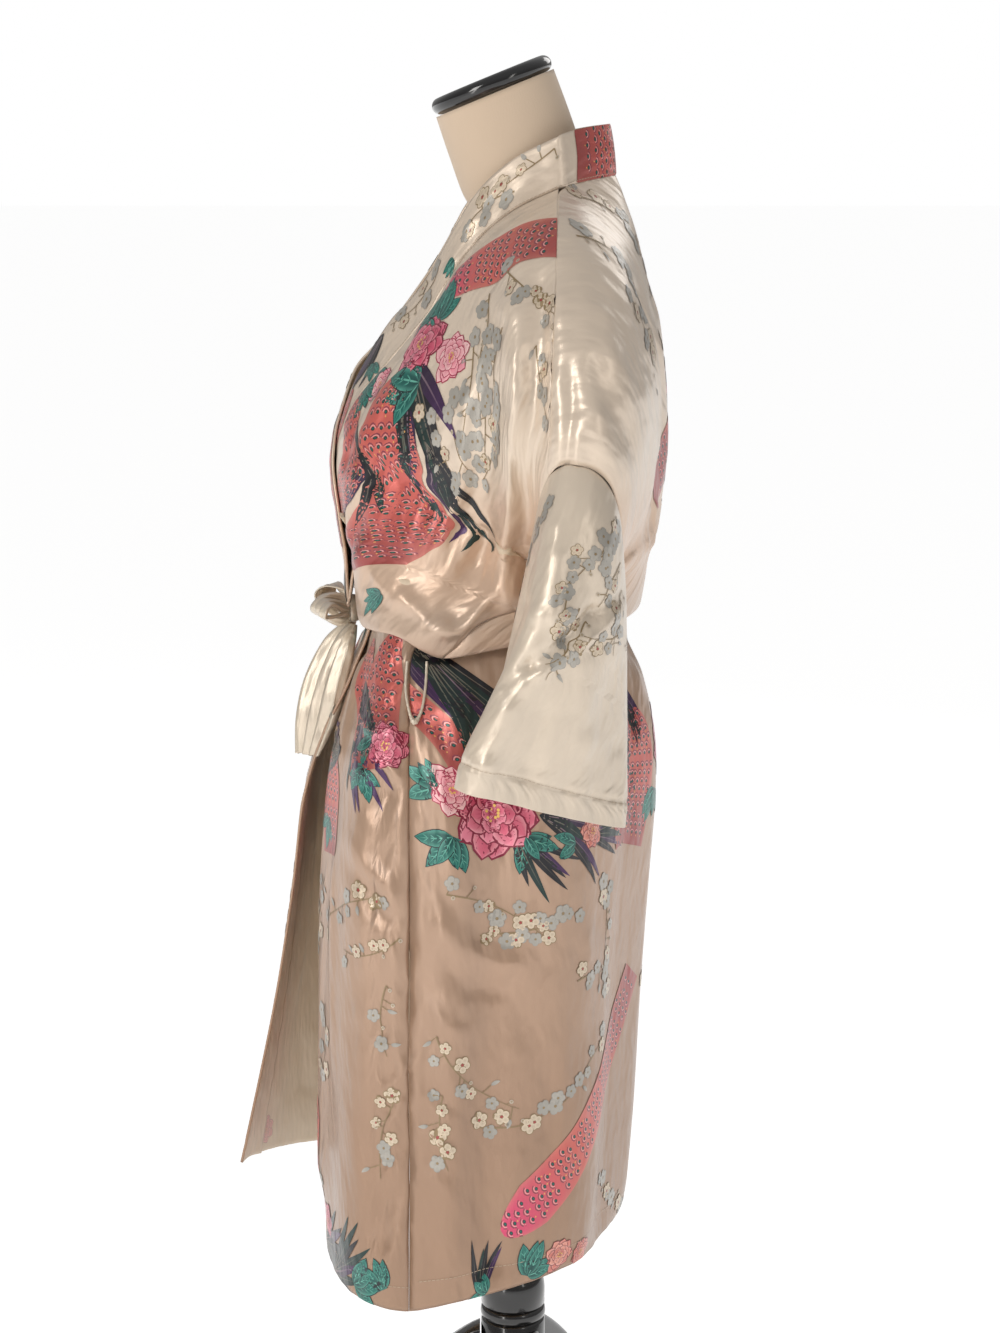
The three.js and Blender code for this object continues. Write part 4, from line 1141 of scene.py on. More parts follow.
def leg(index):
    start = 27.9
    p = lambda r, z: np.array([r, z], float)
    upper = np.concatenate([bezier(p(start, 246), p(start + 30, 236), p(136, 160), p(190, 78)),
                            bezier(p(190, 78), p(212, 46), p(232, 30), p(256, 26))[1:]])
    lower = np.concatenate([bezier(p(start, 200), p(84, 168), p(126, 112), p(172, 48)),
                            bezier(p(172, 48), p(190, 18), p(204, 4), p(222, 0))[1:]])
    upper = np.concatenate([upper, [[262, 18]]])
    lower = np.concatenate([lower, [[262, 0]]])
    corner = np.radians(np.linspace(0, 360, 25)[:-1])
    square = np.stack([power(np.cos(corner), 0.35), power(np.sin(corner), 0.35)], -1)
    middle, half = (upper + lower) / 2, (upper - lower) / 2
    rings = np.stack([
        middle[:, None, 0] + square[None, :, 0] * half[:, None, 0],
        12 * square[None, :, 1] + 0 * middle[:, None, 0],
        middle[:, None, 1] + square[None, :, 0] * half[:, None, 1],
    ], -1)
    piece = mesh_object(f"sawn_leg_{index + 1}", rings.reshape(-1, 3) / 1000, capped(rings), [lacquer])
    piece.data.set_sharp_from_angle(angle=math.radians(50))
    turn = -math.pi / 2 + index * 2 * math.pi / LEG_COUNT
    piece.data.transform(Matrix.Translation(Vector((0, SHIFT_Y / 1000, 0))) @ Matrix.Rotation(turn, 4, "Z"))
    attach(piece, "root")
    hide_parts(f"leg_{index + 1}")


for index in range(LEG_COUNT):
    leg(index)
print("legs:", LEG_COUNT)

# %% [markdown]
# ## The print
# The cloth is printed before it is cut, with flowers, leaves, blossom sprays and bands of an old scale pattern.
# Paint on a shape that bends this much needs clean edges at any distance, so the print is made of flat shapes:
# petals, leaves, lines and dots are small grids, drawn in millimetres on the flat cut. They are laid on the bent
# cloth 0.4 mm proud, in the cloth's own normals, so they shine as it does.

# %% Print colours
DEEP_ROSE, ROSE = colour(158, 22, 62), colour(206, 52, 92)
PALE_ROSE, BLUSH = colour(238, 140, 160), colour(250, 214, 210)
CORAL, BRICK, HOT_PINK = colour(206, 98, 88), colour(160, 70, 66), colour(214, 70, 110)
TEAL, DEEP_TEAL, MINT = colour(16, 112, 100), colour(6, 52, 54), colour(110, 186, 166)
INK, PLUM, NIGHT_GREEN = colour(22, 20, 26), colour(74, 34, 88), colour(14, 52, 46)
MIST, SLATE = colour(180, 174, 164), colour(150, 146, 138)
GOLD, IVORY = colour(146, 124, 90), colour(216, 198, 174)
print("rose:", ROSE, "teal:", TEAL)

# %% [markdown]
# ## Flat shapes
# Every printed shape is a patch: a small grid of points on the cut, a colour for each point, and a level that says
# what lies on what.

# %% Flat shapes
def patch(xy, tone, level):
    return [(np.asarray(xy, float), np.broadcast_to(tone, (*np.shape(xy)[:2], 3)).astype(float), level)]


def blade(length, width, root_tone, tip_tone, bend=0.0, point=1.0, level=1, rim=None, steps=7,
          across=5):
    """A petal or a leaf: it grows along +X from the origin and bends by an angle in radians."""
    s = np.linspace(0, 1, steps)
    t = np.linspace(-1, 1, across)
    heading = bend * s
    run = np.concatenate([[0], np.cumsum(np.cos((heading[1:] + heading[:-1]) / 2))]) / (steps - 1)
    rise = np.concatenate([[0], np.cumsum(np.sin((heading[1:] + heading[:-1]) / 2))]) / (steps - 1)
    half = width / 2 * np.sin(np.pi * np.clip(s, 0.0, 1) ** point) ** 0.75
    x = run[:, None] * length - np.sin(heading)[:, None] * half[:, None] * t
    y = rise[:, None] * length + np.cos(heading)[:, None] * half[:, None] * t
    tone = mix(root_tone, tip_tone, s[:, None, None]) + 0 * t[None, :, None]
    if rim is not None:
        tone = mix(tone, rim, (np.abs(t) ** 3)[None, :, None] * 0.8)
    return patch(np.stack([x, y], -1), tone, level)


def line(points, width, tone, level=1, taper=0.0):
    points = np.asarray(points, float)
    forward = np.gradient(points, axis=0)
    forward /= np.maximum(np.linalg.norm(forward, axis=-1, keepdims=True), 1e-9)
    side = np.stack([-forward[:, 1], forward[:, 0]], -1)
    half = width / 2 * (1 - taper * np.linspace(0, 1, len(points)))
    return patch(points[:, None] + side[:, None] * (half[:, None] * np.array([-1, 1]))[..., None], tone, level)


def disc(x, y, radius, tone, level=1, stretch=1.0, heart=None, sides=12):
    turn = np.linspace(0, 2 * np.pi, sides + 1)
    r = np.array([0.04, 1.0])[:, None] * radius
    xy = np.stack([x + r * np.cos(turn) * stretch, y + r * np.sin(turn)], -1)
    tones = np.broadcast_to(tone, (2, sides + 1, 3)).copy()
    if heart is not None:
        tones[0] = heart
    return patch(xy, tones, level)


def placed(shapes, x, y, turn=0.0, size=1.0, lift=0):
    c, s = math.cos(turn), math.sin(turn)
    spin = np.array([[c, s], [-s, c]]) * size
    return [(xy @ spin + [x, y], tone, level + lift) for xy, tone, level in shapes]


def curve(start, heading, bend, length, steps):
    """Points of a line that keeps turning: bend is the whole turn in radians."""
    h = heading + bend * np.linspace(0, 1, steps)
    step = length / (steps - 1)
    return np.cumsum(np.concatenate([[start], np.stack([np.cos(h[:-1]), np.sin(h[:-1])], -1) * step]), axis=0)


# %% [markdown]
# ## Flowers and leaves
# A peony is four rings of blunt petals, the outer ones below the inner ones. A leaf has a dark rim and pale veins,
# and plum blossoms sit on short side twigs. A seeded random source makes each one a little different, and the same
# on every run.

# %% Flowers and leaves
def petal(length, width, root_tone, tip_tone, edge, bend, level):
    """A blunt petal with a darker outline under it and pale veins on it."""
    shapes = blade(length * 1.05, width * 1.14, edge, edge, bend, 1.25, level)
    shapes += blade(length, width, root_tone, tip_tone, bend, 1.3, level + 1, rim=mix(tip_tone, BLUSH, 0.35))
    for k in (-0.5, 0, 0.5):
        vein = blade(length * 0.7, width * 0.05, root_tone, mix(root_tone, tip_tone, 0.5), bend * 0.7, 1.0, level + 2,
                     steps=5, across=2)
        shapes += placed(vein, length * 0.12, 0, k * 0.55)
    return shapes


def peony(radius, seed, tones=(DEEP_ROSE, ROSE, PALE_ROSE)):
    made = np.random.default_rng(seed)
    dark, middle, light = tones
    shapes = []
    rings = [(9, 1.0, 0.64), (8, 0.78, 0.56), (6, 0.54, 0.46), (5, 0.32, 0.3)]
    for ring, (count, reach, wide) in enumerate(rings):
        for k in range(count):
            turn = 2 * np.pi * (k + 0.5 * ring) / count + made.uniform(-0.14, 0.14)
            length = radius * reach * made.uniform(0.86, 1.08)
            tip = mix(light, middle, made.uniform(0, 0.75))
            level = 1 + 6 * ring + (k % 2) * 3
            shapes += placed(petal(length, radius * wide, dark, tip, mix(dark, INK, 0.35),
                                   made.uniform(-0.4, 0.4), level), 0, 0, turn)
    for k in range(9):
        turn, reach = 2 * np.pi * k / 9 + made.uniform(-0.2, 0.2), radius * made.uniform(0.08, 0.2)
        shapes += disc(reach * math.cos(turn), reach * math.sin(turn), radius * 0.035, colour(232, 190, 96), 27)
    return shapes


def leaf(length, width, bend):
    dark, light = DEEP_TEAL, TEAL
    shapes = blade(length * 1.03, width * 1.12, INK, dark, bend, 0.8, 1)
    shapes += blade(length, width, dark, light, bend, 0.8, 2, rim=mix(light, MINT, 0.5))
    shapes += blade(length * 0.92, width * 0.09, MINT, mix(light, MINT, 0.4), bend * 0.92, 0.7, 3, across=2)
    for k in (0.28, 0.48, 0.66):
        for side in (-1, 1):
            vein = blade(width * 0.5, width * 0.06, MINT, light, -side * 0.4, 1.0, 3, steps=4, across=2)
            shapes += placed(vein, length * k * math.cos(bend * k / 2), length * k * math.sin(bend * k / 2),
                             bend * k + side * 0.75)
    return shapes


def leaf_bunch(count, length, seed, spread=2.2):
    made = np.random.default_rng(seed)
    shapes = []
    for k in range(count):
        turn = spread * ((k + 0.5) / count - 0.5) + made.uniform(-0.15, 0.15)
        size = made.uniform(0.75, 1.15)
        shapes += placed(leaf(length, length * 0.42, made.uniform(-0.5, 0.5)), 0, 0, turn, size, 3 * (k % 3))
    return shapes


def blossom(radius, kind, seed):
    """A five-petalled plum blossom: misty and filled, or drawn in gold lines on ivory."""
    made = np.random.default_rng(seed)
    shapes = []
    turn = made.uniform(0, 2 * np.pi)
    fill = mix(MIST, SLATE, made.uniform(0, 0.6)) if kind == "misty" else IVORY
    edge = mix(SLATE, MIST, 0.3) if kind == "misty" else GOLD
    for k in range(5):
        a = turn + 2 * np.pi * k / 5
        x, y = 0.56 * radius * math.cos(a), 0.56 * radius * math.sin(a)
        shapes += disc(x, y, radius * 0.47, edge, 4, sides=9)
        shapes += disc(x, y, radius * 0.38, fill, 5 + k % 2, sides=9, heart=mix(fill, edge, 0.35))
    shapes += disc(0, 0, radius * 0.17, GOLD if kind == "misty" else BRICK, 8, sides=8)
    return shapes


def spray(length, seed, bend=0.8, size=8.0, misty=0.55):
    """A twig with blossoms, buds and small leaves, as plum twigs are drawn."""
    made = np.random.default_rng(seed)
    twig = curve((0, 0), 0, bend, length, max(8, int(length / 5)))
    shapes = line(twig, 1.3, GOLD, 2, 0.6)
    count = int(length / (size * 1.25))
    for k in range(count):
        i = int((k + made.uniform(0.2, 0.8)) / count * (len(twig) - 1))
        side = made.choice([-1, 1])
        reach = size * made.uniform(0.2, 1.6)
        a = bend * i / len(twig) + side * made.uniform(0.8, 1.6)
        x, y = twig[i] + reach * np.array([math.cos(a), math.sin(a)])
        shapes += line([twig[i], (twig[i] + [x, y]) / 2, [x, y]], 0.8, GOLD, 2)
        draw = made.uniform()
        if draw < 0.68:
            kind = "misty" if made.uniform() < misty else "gold"
            shapes += placed(blossom(size * made.uniform(0.75, 1.2), kind, int(made.integers(1 << 30))), x, y)
        elif draw < 0.86:
            shapes += disc(x, y, size * 0.26, mix(MIST, IVORY, 0.5), 5, heart=GOLD, sides=8)
        else:
            shapes += placed(blade(size * 1.3, size * 0.5, SLATE, MIST, 0.4, 0.8, 5), x, y, a)
    return shapes


# %% [markdown]
# ## Bands and long leaves
# The broad coral fields are bands of the old wave pattern of overlapping scales. Bunches of long narrow dark leaves
# lie between them.

# %% Bands and long leaves
def scale_band(length, width, seed, bend=0.4, head=HOT_PINK, tail=BRICK):
    """A long band with a round head, covered in overlapping scales, each with a dark dot."""
    made = np.random.default_rng(seed)
    steps = max(10, int(length / 3))
    middle = curve((0, 0), 0, bend, length, steps)
    s = np.linspace(0, 1, steps)
    half = width / 2 * np.minimum(1, np.sqrt(np.clip(s * length / (width * 0.75), 0, 1) + 0.02)) * (1 - 0.25 * s)
    forward = np.gradient(middle, axis=0)
    forward /= np.linalg.norm(forward, axis=-1, keepdims=True)
    side = np.stack([-forward[:, 1], forward[:, 0]], -1)
    t = np.linspace(-1, 1, max(5, int(width / 3)))
    xy = middle[:, None] + side[:, None] * (half[:, None] * t)[..., None]
    tone = mix(head, CORAL, smooth(0.0, 0.35, s)[:, None, None])
    tone = mix(tone, tail, smooth(0.4, 1.0, s)[:, None, None]) + 0 * t[None, :, None]
    tone = mix(tone, mix(CORAL, IVORY, 0.25), 0.5 * (np.abs(t) ** 6)[None, :, None])
    shapes = patch(xy, tone, 1)
    pitch = 8.5
    for row in range(1, int(length / (pitch * 0.8))):
        at = row * pitch * 0.8
        i = int(at / length * (steps - 1))
        columns = np.arange(-3, 4) + (0.5 if row % 2 else 0.0)
        for offset in columns * pitch:
            if i >= steps or abs(offset) > half[i] - pitch * 0.42:
                continue
            x, y = middle[i] + side[i] * offset
            turn = math.atan2(forward[i, 1], forward[i, 0])
            arc = np.linspace(-1.25, 1.25, 5)
            ring = np.stack([-np.cos(arc), np.sin(arc)], -1) * pitch * 0.47
            shapes += placed(line(ring, 0.9, mix(tail, PLUM, 0.35), 2), x, y, turn)
            shapes += placed(line(ring * 0.72, 0.7, mix(CORAL, BLUSH, 0.45), 2), x, y, turn)
            shapes += placed(disc(-0.8, 0, 1.75, INK, 3, 0.75, heart=TEAL, sides=7), x, y, turn)
            if made.uniform() < 0.35:
                shapes += placed(disc(1.8, 0, 0.7, colour(226, 170, 96), 3, sides=6), x, y, turn)
    return shapes


def long_leaves(count, length, seed, spread=0.9, tones=(INK, NIGHT_GREEN, PLUM), bend=0.6, width=0.11):
    """A bunch of long narrow dark leaves with pale centre lines."""
    made = np.random.default_rng(seed)
    shapes = []
    for k in range(count):
        turn = spread * ((k + 0.5) / count - 0.5) + made.uniform(-0.06, 0.06)
        long = length * made.uniform(0.7, 1.1)
        tone = tones[int(made.integers(len(tones)))]
        steps = max(8, int(long / 4))
        curl = bend * made.uniform(0.4, 1.2)
        shapes += placed(blade(long, length * width, INK, tone, curl, 0.7, 1 + k % 3, steps=steps), 0, 0, turn)
        shapes += placed(blade(long * 0.9, length * width * 0.1, mix(tone, IVORY, 0.35), tone, curl, 0.7, 4,
                               steps=steps, across=2), 0, 0, turn)
    return shapes


# %% [markdown]
# ## Laying the print
# A panel's flat cut and its bent surface share one grid, so a spot on the cut has a place on the grid, and from
# there a point and a direction on the bent cloth. Large shapes first get more points, so that they bend with the
# creases under them.

# %% Laying the print
LIFT, LEVEL_LIFT, SAMPLE = 0.4, 0.014, 2.0
WRONG_SIDE_SHARE, SMALLEST_FACE = 0.55, 1e-4


def cut_map(name, origin):
    """How a panel's flat cut lies on its grid. Lengths across are measured from the origin column, and down from
    the first row."""
    panel_data = pieces[name]
    across = panel_data["across"]
    if origin == "last":
        across = across[:, -1:] - across
        across = across[:, ::-1]
    elif origin == "middle":
        across = across - across[:, [across.shape[1] // 2]]
    columns = np.arange(across.shape[1])
    spots = np.arange(across.min() - 4, across.max() + 4, SAMPLE)
    lookup = np.stack([np.interp(spots, row, columns) for row in across])
    if origin == "last":
        lookup = across.shape[1] - 1 - lookup
    down = panel_data["down"][:, panel_data["down"].shape[1] // 2]
    return panel_data, spots, lookup, down


def sample(field, row, column):
    j = np.clip(np.floor(row).astype(int), 0, field.shape[0] - 2)
    i = np.clip(np.floor(column).astype(int), 0, field.shape[1] - 2)
    p, q = (row - j)[..., None], (column - i)[..., None]
    if field.ndim == 2:
        field = field[..., None]
    return (field[j, i] * (1 - p) * (1 - q) + field[j + 1, i] * p * (1 - q)
            + field[j, i + 1] * (1 - p) * q + field[j + 1, i + 1] * p * q)


LONGEST_STEP = 5.0


def finer(xy, tone):
    """The same shape with more rows and columns, so that it bends with the creases under it."""
    for axis in (0, 1):
        step = np.linalg.norm(np.diff(xy, axis=axis), axis=-1)
        parts = int(np.ceil(step.max() / LONGEST_STEP)) if step.size else 1
        if parts > 1:
            count = xy.shape[axis]
            at = np.linspace(0, count - 1, (count - 1) * parts + 1)
            low = np.clip(np.floor(at).astype(int), 0, count - 2)
            share = (at - low).reshape((-1, 1, 1) if axis == 0 else (1, -1, 1))
            xy, tone = (mix(np.take(field, low, axis), np.take(field, low + 1, axis), share)
                        for field in (xy, np.broadcast_to(tone, xy.shape[:2] + (3,))))
    return xy, np.broadcast_to(tone, xy.shape[:2] + (3,))


def lay_print(name, target, shapes, origin, wrong_side=False):
    panel_data, spots, lookup, down = cut_map(target, origin)
    vertices, normals, inks, faces, cuts = [], [], [], [], []
    count = 0
    for xy, tone, level in shapes:
        xy, tone = finer(xy, tone)
        row = np.interp(xy[..., 1], down, np.arange(len(down)))
        spot = np.clip((xy[..., 0] - spots[0]) / SAMPLE, 0, len(spots) - 1.001)
        column = np.clip(sample(lookup, row, spot)[..., 0], 0, panel_data["points"].shape[1] - 1)
        outside = (xy[..., 1] < down[0]) | (xy[..., 1] > down[-1])
        pinned = (column < 0.02) | (column > panel_data["points"].shape[1] - 1.02) | outside
        if pinned.all():
            continue
        point = sample(panel_data["points"], row, column)
        out = sample(panel_data["out"], row, column)
        out /= np.linalg.norm(out, axis=-1, keepdims=True)
        if wrong_side:
            point, out = point - out * panel_data["thick"], -out
            tone = mix(tone, WRONG_SIDE, WRONG_SIDE_SHARE)
        vertices.append((point + out * (LIFT + LEVEL_LIFT * level)).reshape(-1, 3))
        normals.append(out.reshape(-1, 3))
        inks.append(tone.reshape(-1, 3))
        cuts.append(sample(panel_data["cut"], row, column).reshape(-1, 2))
        rows, columns = xy.shape[:2]
        quads = grid_faces(rows, columns, False)
        here = pinned.reshape(-1)
        keep = ~here[quads].all(axis=1)
        faces.append((quads + count)[keep])
        count += rows * columns
    vertices, normals, inks = map(np.concatenate, (vertices, normals, inks))
    faces = np.concatenate(faces)
    corner = vertices[faces]
    face_out = np.cross(corner[:, 2] - corner[:, 0], corner[:, 3] - corner[:, 1])
    turned_over = (face_out * normals[faces].mean(axis=1)).sum(-1) < 0
    faces[turned_over] = faces[turned_over][:, ::-1]
    used = np.linalg.norm(face_out, axis=-1) > SMALLEST_FACE
    finish = printed_wrong_side if wrong_side else satin_face
    piece = mesh_object(name, to_metres(vertices), faces[used], [finish], print_and_painted_shade=inks, uv=np.concatenate(cuts))
    piece.data.normals_split_custom_set_from_vertices(normals.tolist())
    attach(piece, "root")
    print(name, "shapes:", len(shapes), "faces:", int(used.sum()))
    return piece

# %% [markdown]
# ## Where each motif lies
# Each panel has a table in millimetres on its cut: across from its side seam (from the centre line for the back),
# and down from the shoulder line. Turn is in degrees, size is the motif's radius or length, and amount its count or
# width. The big masses of colour sit at the bust, under the belt and at the hem, with blossom sprays between them.

# %% Motif tables
def drawn(kind, size, amount, bend, seed):
    if kind == "peony":
        return peony(size, seed)
    if kind == "pale_peony":
        return peony(size, seed, (ROSE, PALE_ROSE, BLUSH))
    if kind == "coral_peony":
        return peony(size, seed, (BRICK, CORAL, colour(240, 168, 146)))
    if kind == "leaves":
        return leaf_bunch(amount, size, seed)
    if kind == "spray":
        return spray(size, seed, bend, 6.4, amount)
    if kind == "band":
        return scale_band(size, amount, seed, bend)
    if kind == "brick_band":
        return scale_band(size, amount, seed, bend, CORAL, BRICK)
    return long_leaves(amount, size, seed, bend=bend)


left_front_motifs = [
    ["band", 222, 94, -108, 108, 58, 0.1, 1],
    ["brick_band", 206, 150, 112, 150, 84, 0.25, 2],
    ["brick_band", 262, 176, 106, 140, 56, 0.15, 3],
    ["brick_band", 20, 418, 78, 92, 46, 0.3, 4],
    ["long_leaves", 206, 138, 158, 122, 9, -0.75, 5],
    ["long_leaves", 150, 168, 148, 84, 5, -0.7, 6],
    ["long_leaves", 232, 190, 110, 84, 4, 0.5, 7],
    ["leaves", 226, 122, -150, 30, 5, 0, 8],
    ["leaves", 206, 108, -70, 28, 4, 0, 9],
    ["leaves", 180, 142, 20, 32, 5, 0, 10],
    ["leaves", 252, 166, 160, 28, 5, 0, 11],
    ["peony", 204, 126, 0, 23, 0, 0, 12],
    ["pale_peony", 164, 112, 0, 18, 0, 0, 13],
    ["pale_peony", 232, 164, 0, 13, 0, 0, 14],
    ["spray", 190, 42, -165, 92, 0.8, 0.7, 15],
    ["spray", 176, 60, 160, 70, 0.9, -0.6, 46],
    ["spray", 150, 70, 110, 64, 0.9, 0.9, 47],
    ["spray", 166, 150, 170, 70, 0.8, -0.9, 48],
    ["spray", 144, 128, 130, 60, 0.9, 0.7, 49],
    ["spray", 128, 96, 150, 60, 0.9, -0.8, 200],
    ["spray", 158, 88, 150, 70, 0.6, -0.8, 16],
    ["spray", 138, 54, 120, 86, 0.7, 0.5, 17],
    ["spray", 104, 22, 172, 70, 0.7, 0.9, 18],
    ["spray", 96, 104, 120, 56, 0.6, -0.9, 19],
    ["leaves", 92, 292, 70, 20, 4, 0, 20],
    ["long_leaves", 60, 462, 100, 92, 6, 0.4, 21],
    ["long_leaves", 96, 520, 20, 74, 6, -0.3, 22],
    ["brick_band", 64, 430, 96, 100, 46, 0.2, 23],
    ["leaves", 40, 524, 75, 26, 5, 0, 24],
    ["leaves", 34, 500, 15, 24, 4, 0, 25],
    ["peony", 19, 505, 0, 19, 0, 0, 26],
    ["brick_band", 118, 520, 92, 86, 50, 0.1, 27],
    ["leaves", 120, 580, 60, 22, 4, 0, 28],
    ["spray", 20, 620, 12, 110, 0.5, 0.5, 29],
    ["spray", 8, 652, 40, 64, 0.4, -0.9, 30],
    ["spray", 128, 628, 62, 66, 0.5, 0.9, 31],
    ["spray", 18, 690, 70, 58, 0.5, 0.8, 32],
    ["spray", 120, 730, 100, 70, 0.4, -0.8, 33],
    ["spray", 10, 778, 60, 70, 0.5, 0.7, 34],
    ["spray", 132, 872, -20, 44, 0.2, 0.7, 35],
    ["brick_band", 143, 812, 84, 96, 22, 0.1, 36],
    ["long_leaves", 140, 936, -170, 92, 9, 0.25, 37],
    ["long_leaves", 96, 944, -150, 78, 7, 0.3, 38],
    ["leaves", 50, 934, -150, 27, 5, 0, 39],
    ["leaves", 22, 930, -60, 24, 4, 0, 40],
    ["peony", 122, 912, 0, 16, 0, 0, 41],
    ["band", 214, 560, 100, 120, 40, 0.3, 42],
    ["spray", 200, 700, 90, 90, 0.5, 0.6, 43],
    ["peony", 206, 890, 0, 24, 0, 0, 44],
    ["leaves", 220, 862, -120, 26, 5, 0, 45],
    ["leaves", 190, 915, 40, 26, 4, 0, 46],
]
back_motifs = [
    ["spray", -150, 10, 40, 70, 0.8, 0.7, 51],
    ["spray", -120, 40, 100, 60, 0.9, -0.7, 50],
    ["spray", -84, 6, 24, 84, 0.7, 0.8, 52],
    ["spray", -40, 40, 64, 70, 0.7, 0.6, 53],
    ["spray", -150, 60, 60, 90, 0.6, 0.7, 54],
    ["spray", -40, 120, 80, 90, 0.6, -0.7, 55],
    ["brick_band", 70, 108, 120, 190, 66, 0.5, 56],
    ["long_leaves", 96, 104, 120, 110, 8, 0.7, 57],
    ["long_leaves", -18, 210, 50, 96, 6, -0.5, 58],
    ["peony", 92, 96, 0, 24, 0, 0, 59],
    ["leaves", 70, 82, -150, 27, 5, 0, 60],
    ["leaves", 112, 112, 30, 27, 5, 0, 61],
    ["pale_peony", 128, 78, 0, 15, 0, 0, 62],
    ["spray", 150, 150, 70, 90, 0.6, 0.8, 63],
    ["spray", 60, 20, 0, 90, 0.7, 0.7, 64],
    ["long_leaves", -238, 452, 76, 100, 9, 0.25, 65],
    ["long_leaves", -262, 440, 60, 86, 5, 0.3, 66],
    ["brick_band", -290, 470, 62, 84, 36, 0.3, 67],
    ["long_leaves", -236, 588, 62, 64, 8, -0.4, 68],
    ["long_leaves", -214, 582, 20, 78, 5, 0.4, 69],
    ["leaves", -288, 560, -140, 28, 4, 0, 70],
    ["leaves", -284, 596, 120, 30, 5, 0, 71],
    ["leaves", -226, 598, 50, 26, 4, 0, 72],
    ["pale_peony", -278, 562, 0, 20, 0, 0, 73],
    ["peony", -248, 580, 0, 34, 0, 0, 74],
    ["brick_band", -118, 500, 88, 120, 62, -0.2, 75],
    ["brick_band", -70, 520, 95, 110, 56, 0.2, 76],
    ["long_leaves", -90, 470, 84, 96, 8, 0.3, 77],
    ["long_leaves", -168, 604, 0, 60, 5, 0.4, 78],
    ["leaves", -184, 606, 170, 24, 3, 0, 79],
    ["coral_peony", -164, 600, 0, 15, 0, 0, 80],
    ["spray", -290, 640, 10, 96, 0.6, 0.6, 81],
    ["spray", -262, 674, 0, 88, 0.5, -0.4, 82],
    ["spray", -140, 640, 80, 96, 0.7, 0.4, 83],
    ["spray", -180, 716, -10, 60, 0.6, 0.8, 84],
    ["spray", -296, 752, 66, 96, 0.5, -0.9, 85],
    ["spray", -262, 828, 8, 100, 0.6, -1.0, 86],
    ["spray", -172, 800, -50, 50, 0.6, 0.7, 87],
    ["spray", -290, 800, 100, 60, 0.4, -0.6, 88],
    ["band", -236, 908, -36, 240, 42, -0.35, 89],
    ["long_leaves", -250, 950, -95, 44, 5, 0.5, 90],
    ["leaves", -212, 944, -60, 24, 5, 0, 91],
    ["leaves", -244, 948, -150, 20, 3, 0, 92],
    ["coral_peony", -184, 936, 0, 14, 0, 0, 93],
    ["coral_peony", -158, 942, 0, 12, 0, 0, 94],
    ["spray", -120, 900, 20, 80, 0.6, 0.7, 95],
    ["peony", -20, 556, 0, 30, 0, 0, 96],
    ["leaves", -48, 590, 110, 28, 5, 0, 97],
    ["leaves", 12, 566, 10, 28, 5, 0, 98],
    ["long_leaves", 20, 590, 50, 84, 7, 0.4, 99],
    ["spray", 20, 660, 20, 110, 0.6, 0.7, 100],
    ["spray", -40, 740, 60, 100, 0.6, -0.7, 101],
    ["brick_band", 150, 500, 84, 130, 58, 0.3, 102],
    ["peony", 206, 570, 0, 28, 0, 0, 103],
    ["leaves", 232, 590, 60, 28, 5, 0, 104],
    ["long_leaves", 180, 590, 110, 80, 7, -0.4, 105],
    ["spray", 150, 690, 30, 110, 0.6, 0.6, 106],
    ["spray", 220, 760, 80, 90, 0.5, 0.7, 107],
    ["band", 60, 912, -30, 190, 40, 0.4, 108],
    ["peony", 40, 930, 0, 20, 0, 0, 109],
    ["leaves", 14, 936, -150, 24, 4, 0, 110],
    ["leaves", 66, 940, -40, 24, 4, 0, 111],
    ["coral_peony", 250, 930, 0, 16, 0, 0, 112],
    ["leaves", 224, 934, -140, 24, 4, 0, 113],
    ["spray", 120, 830, 10, 90, 0.6, -0.6, 114],
]
sleeve_motifs = [
    ["spray", 226, 30, 110, 60, 0.9, 0.9, 128],
    ["spray", 252, 60, 100, 64, 0.9, -0.9, 129],
    ["spray", 222, 110, 100, 50, 0.9, 0.8, 130],
    ["spray", 190, 84, 90, 50, 0.8, -0.9, 119],
    ["spray", 150, 20, 110, 60, 0.9, 0.6, 120],
    ["spray", 214, 18, 96, 86, 0.9, 0.5, 121],
    ["spray", 236, 46, 120, 50, 0.8, -0.7, 122],
    ["spray", 268, 96, 130, 54, 0.9, 0.8, 123],
    ["spray", 206, 104, 76, 60, 0.8, 0.6, 124],
    ["spray", 100, 60, 80, 76, 0.8, 0.6, 125],
    ["spray", 20, 90, 70, 60, 0.8, -0.6, 126],
    ["spray", 320, 40, 100, 70, 0.8, 0.6, 127],
]
neckband_motifs = [
    ["brick_band", 20, -14, 90, 74, 62, 0.1, 131],
    ["spray", 8, 84, 70, 62, 0.8, 0.5, 132],
    ["spray", 26, 118, 110, 60, 0.7, -0.6, 133],
    ["leaves", 30, 186, 60, 16, 3, 0, 134],
    ["spray", 20, 214, 90, 60, 0.7, 0.5, 135],
    ["long_leaves", 6, 280, 80, 70, 5, 0.3, 136],
    ["brick_band", 20, 330, 90, 110, 44, 0.1, 137],
    ["leaves", 22, 300, 40, 18, 4, 0, 138],
    ["long_leaves", 34, 452, 100, 90, 5, -0.3, 139],
    ["coral_peony", 20, 560, 0, 14, 0, 0, 140],
    ["leaves", 12, 576, 110, 18, 4, 0, 141],
    ["spray", 20, 650, 90, 80, 0.6, 0.5, 142],
    ["spray", 26, 790, 80, 70, 0.6, -0.5, 143],
    ["brick_band", 18, 890, 90, 90, 40, 0.1, 144],
    ["peony", 22, 1006, 0, 15, 0, 0, 145],
    ["leaves", 12, 1024, 90, 20, 4, 0, 146],
]
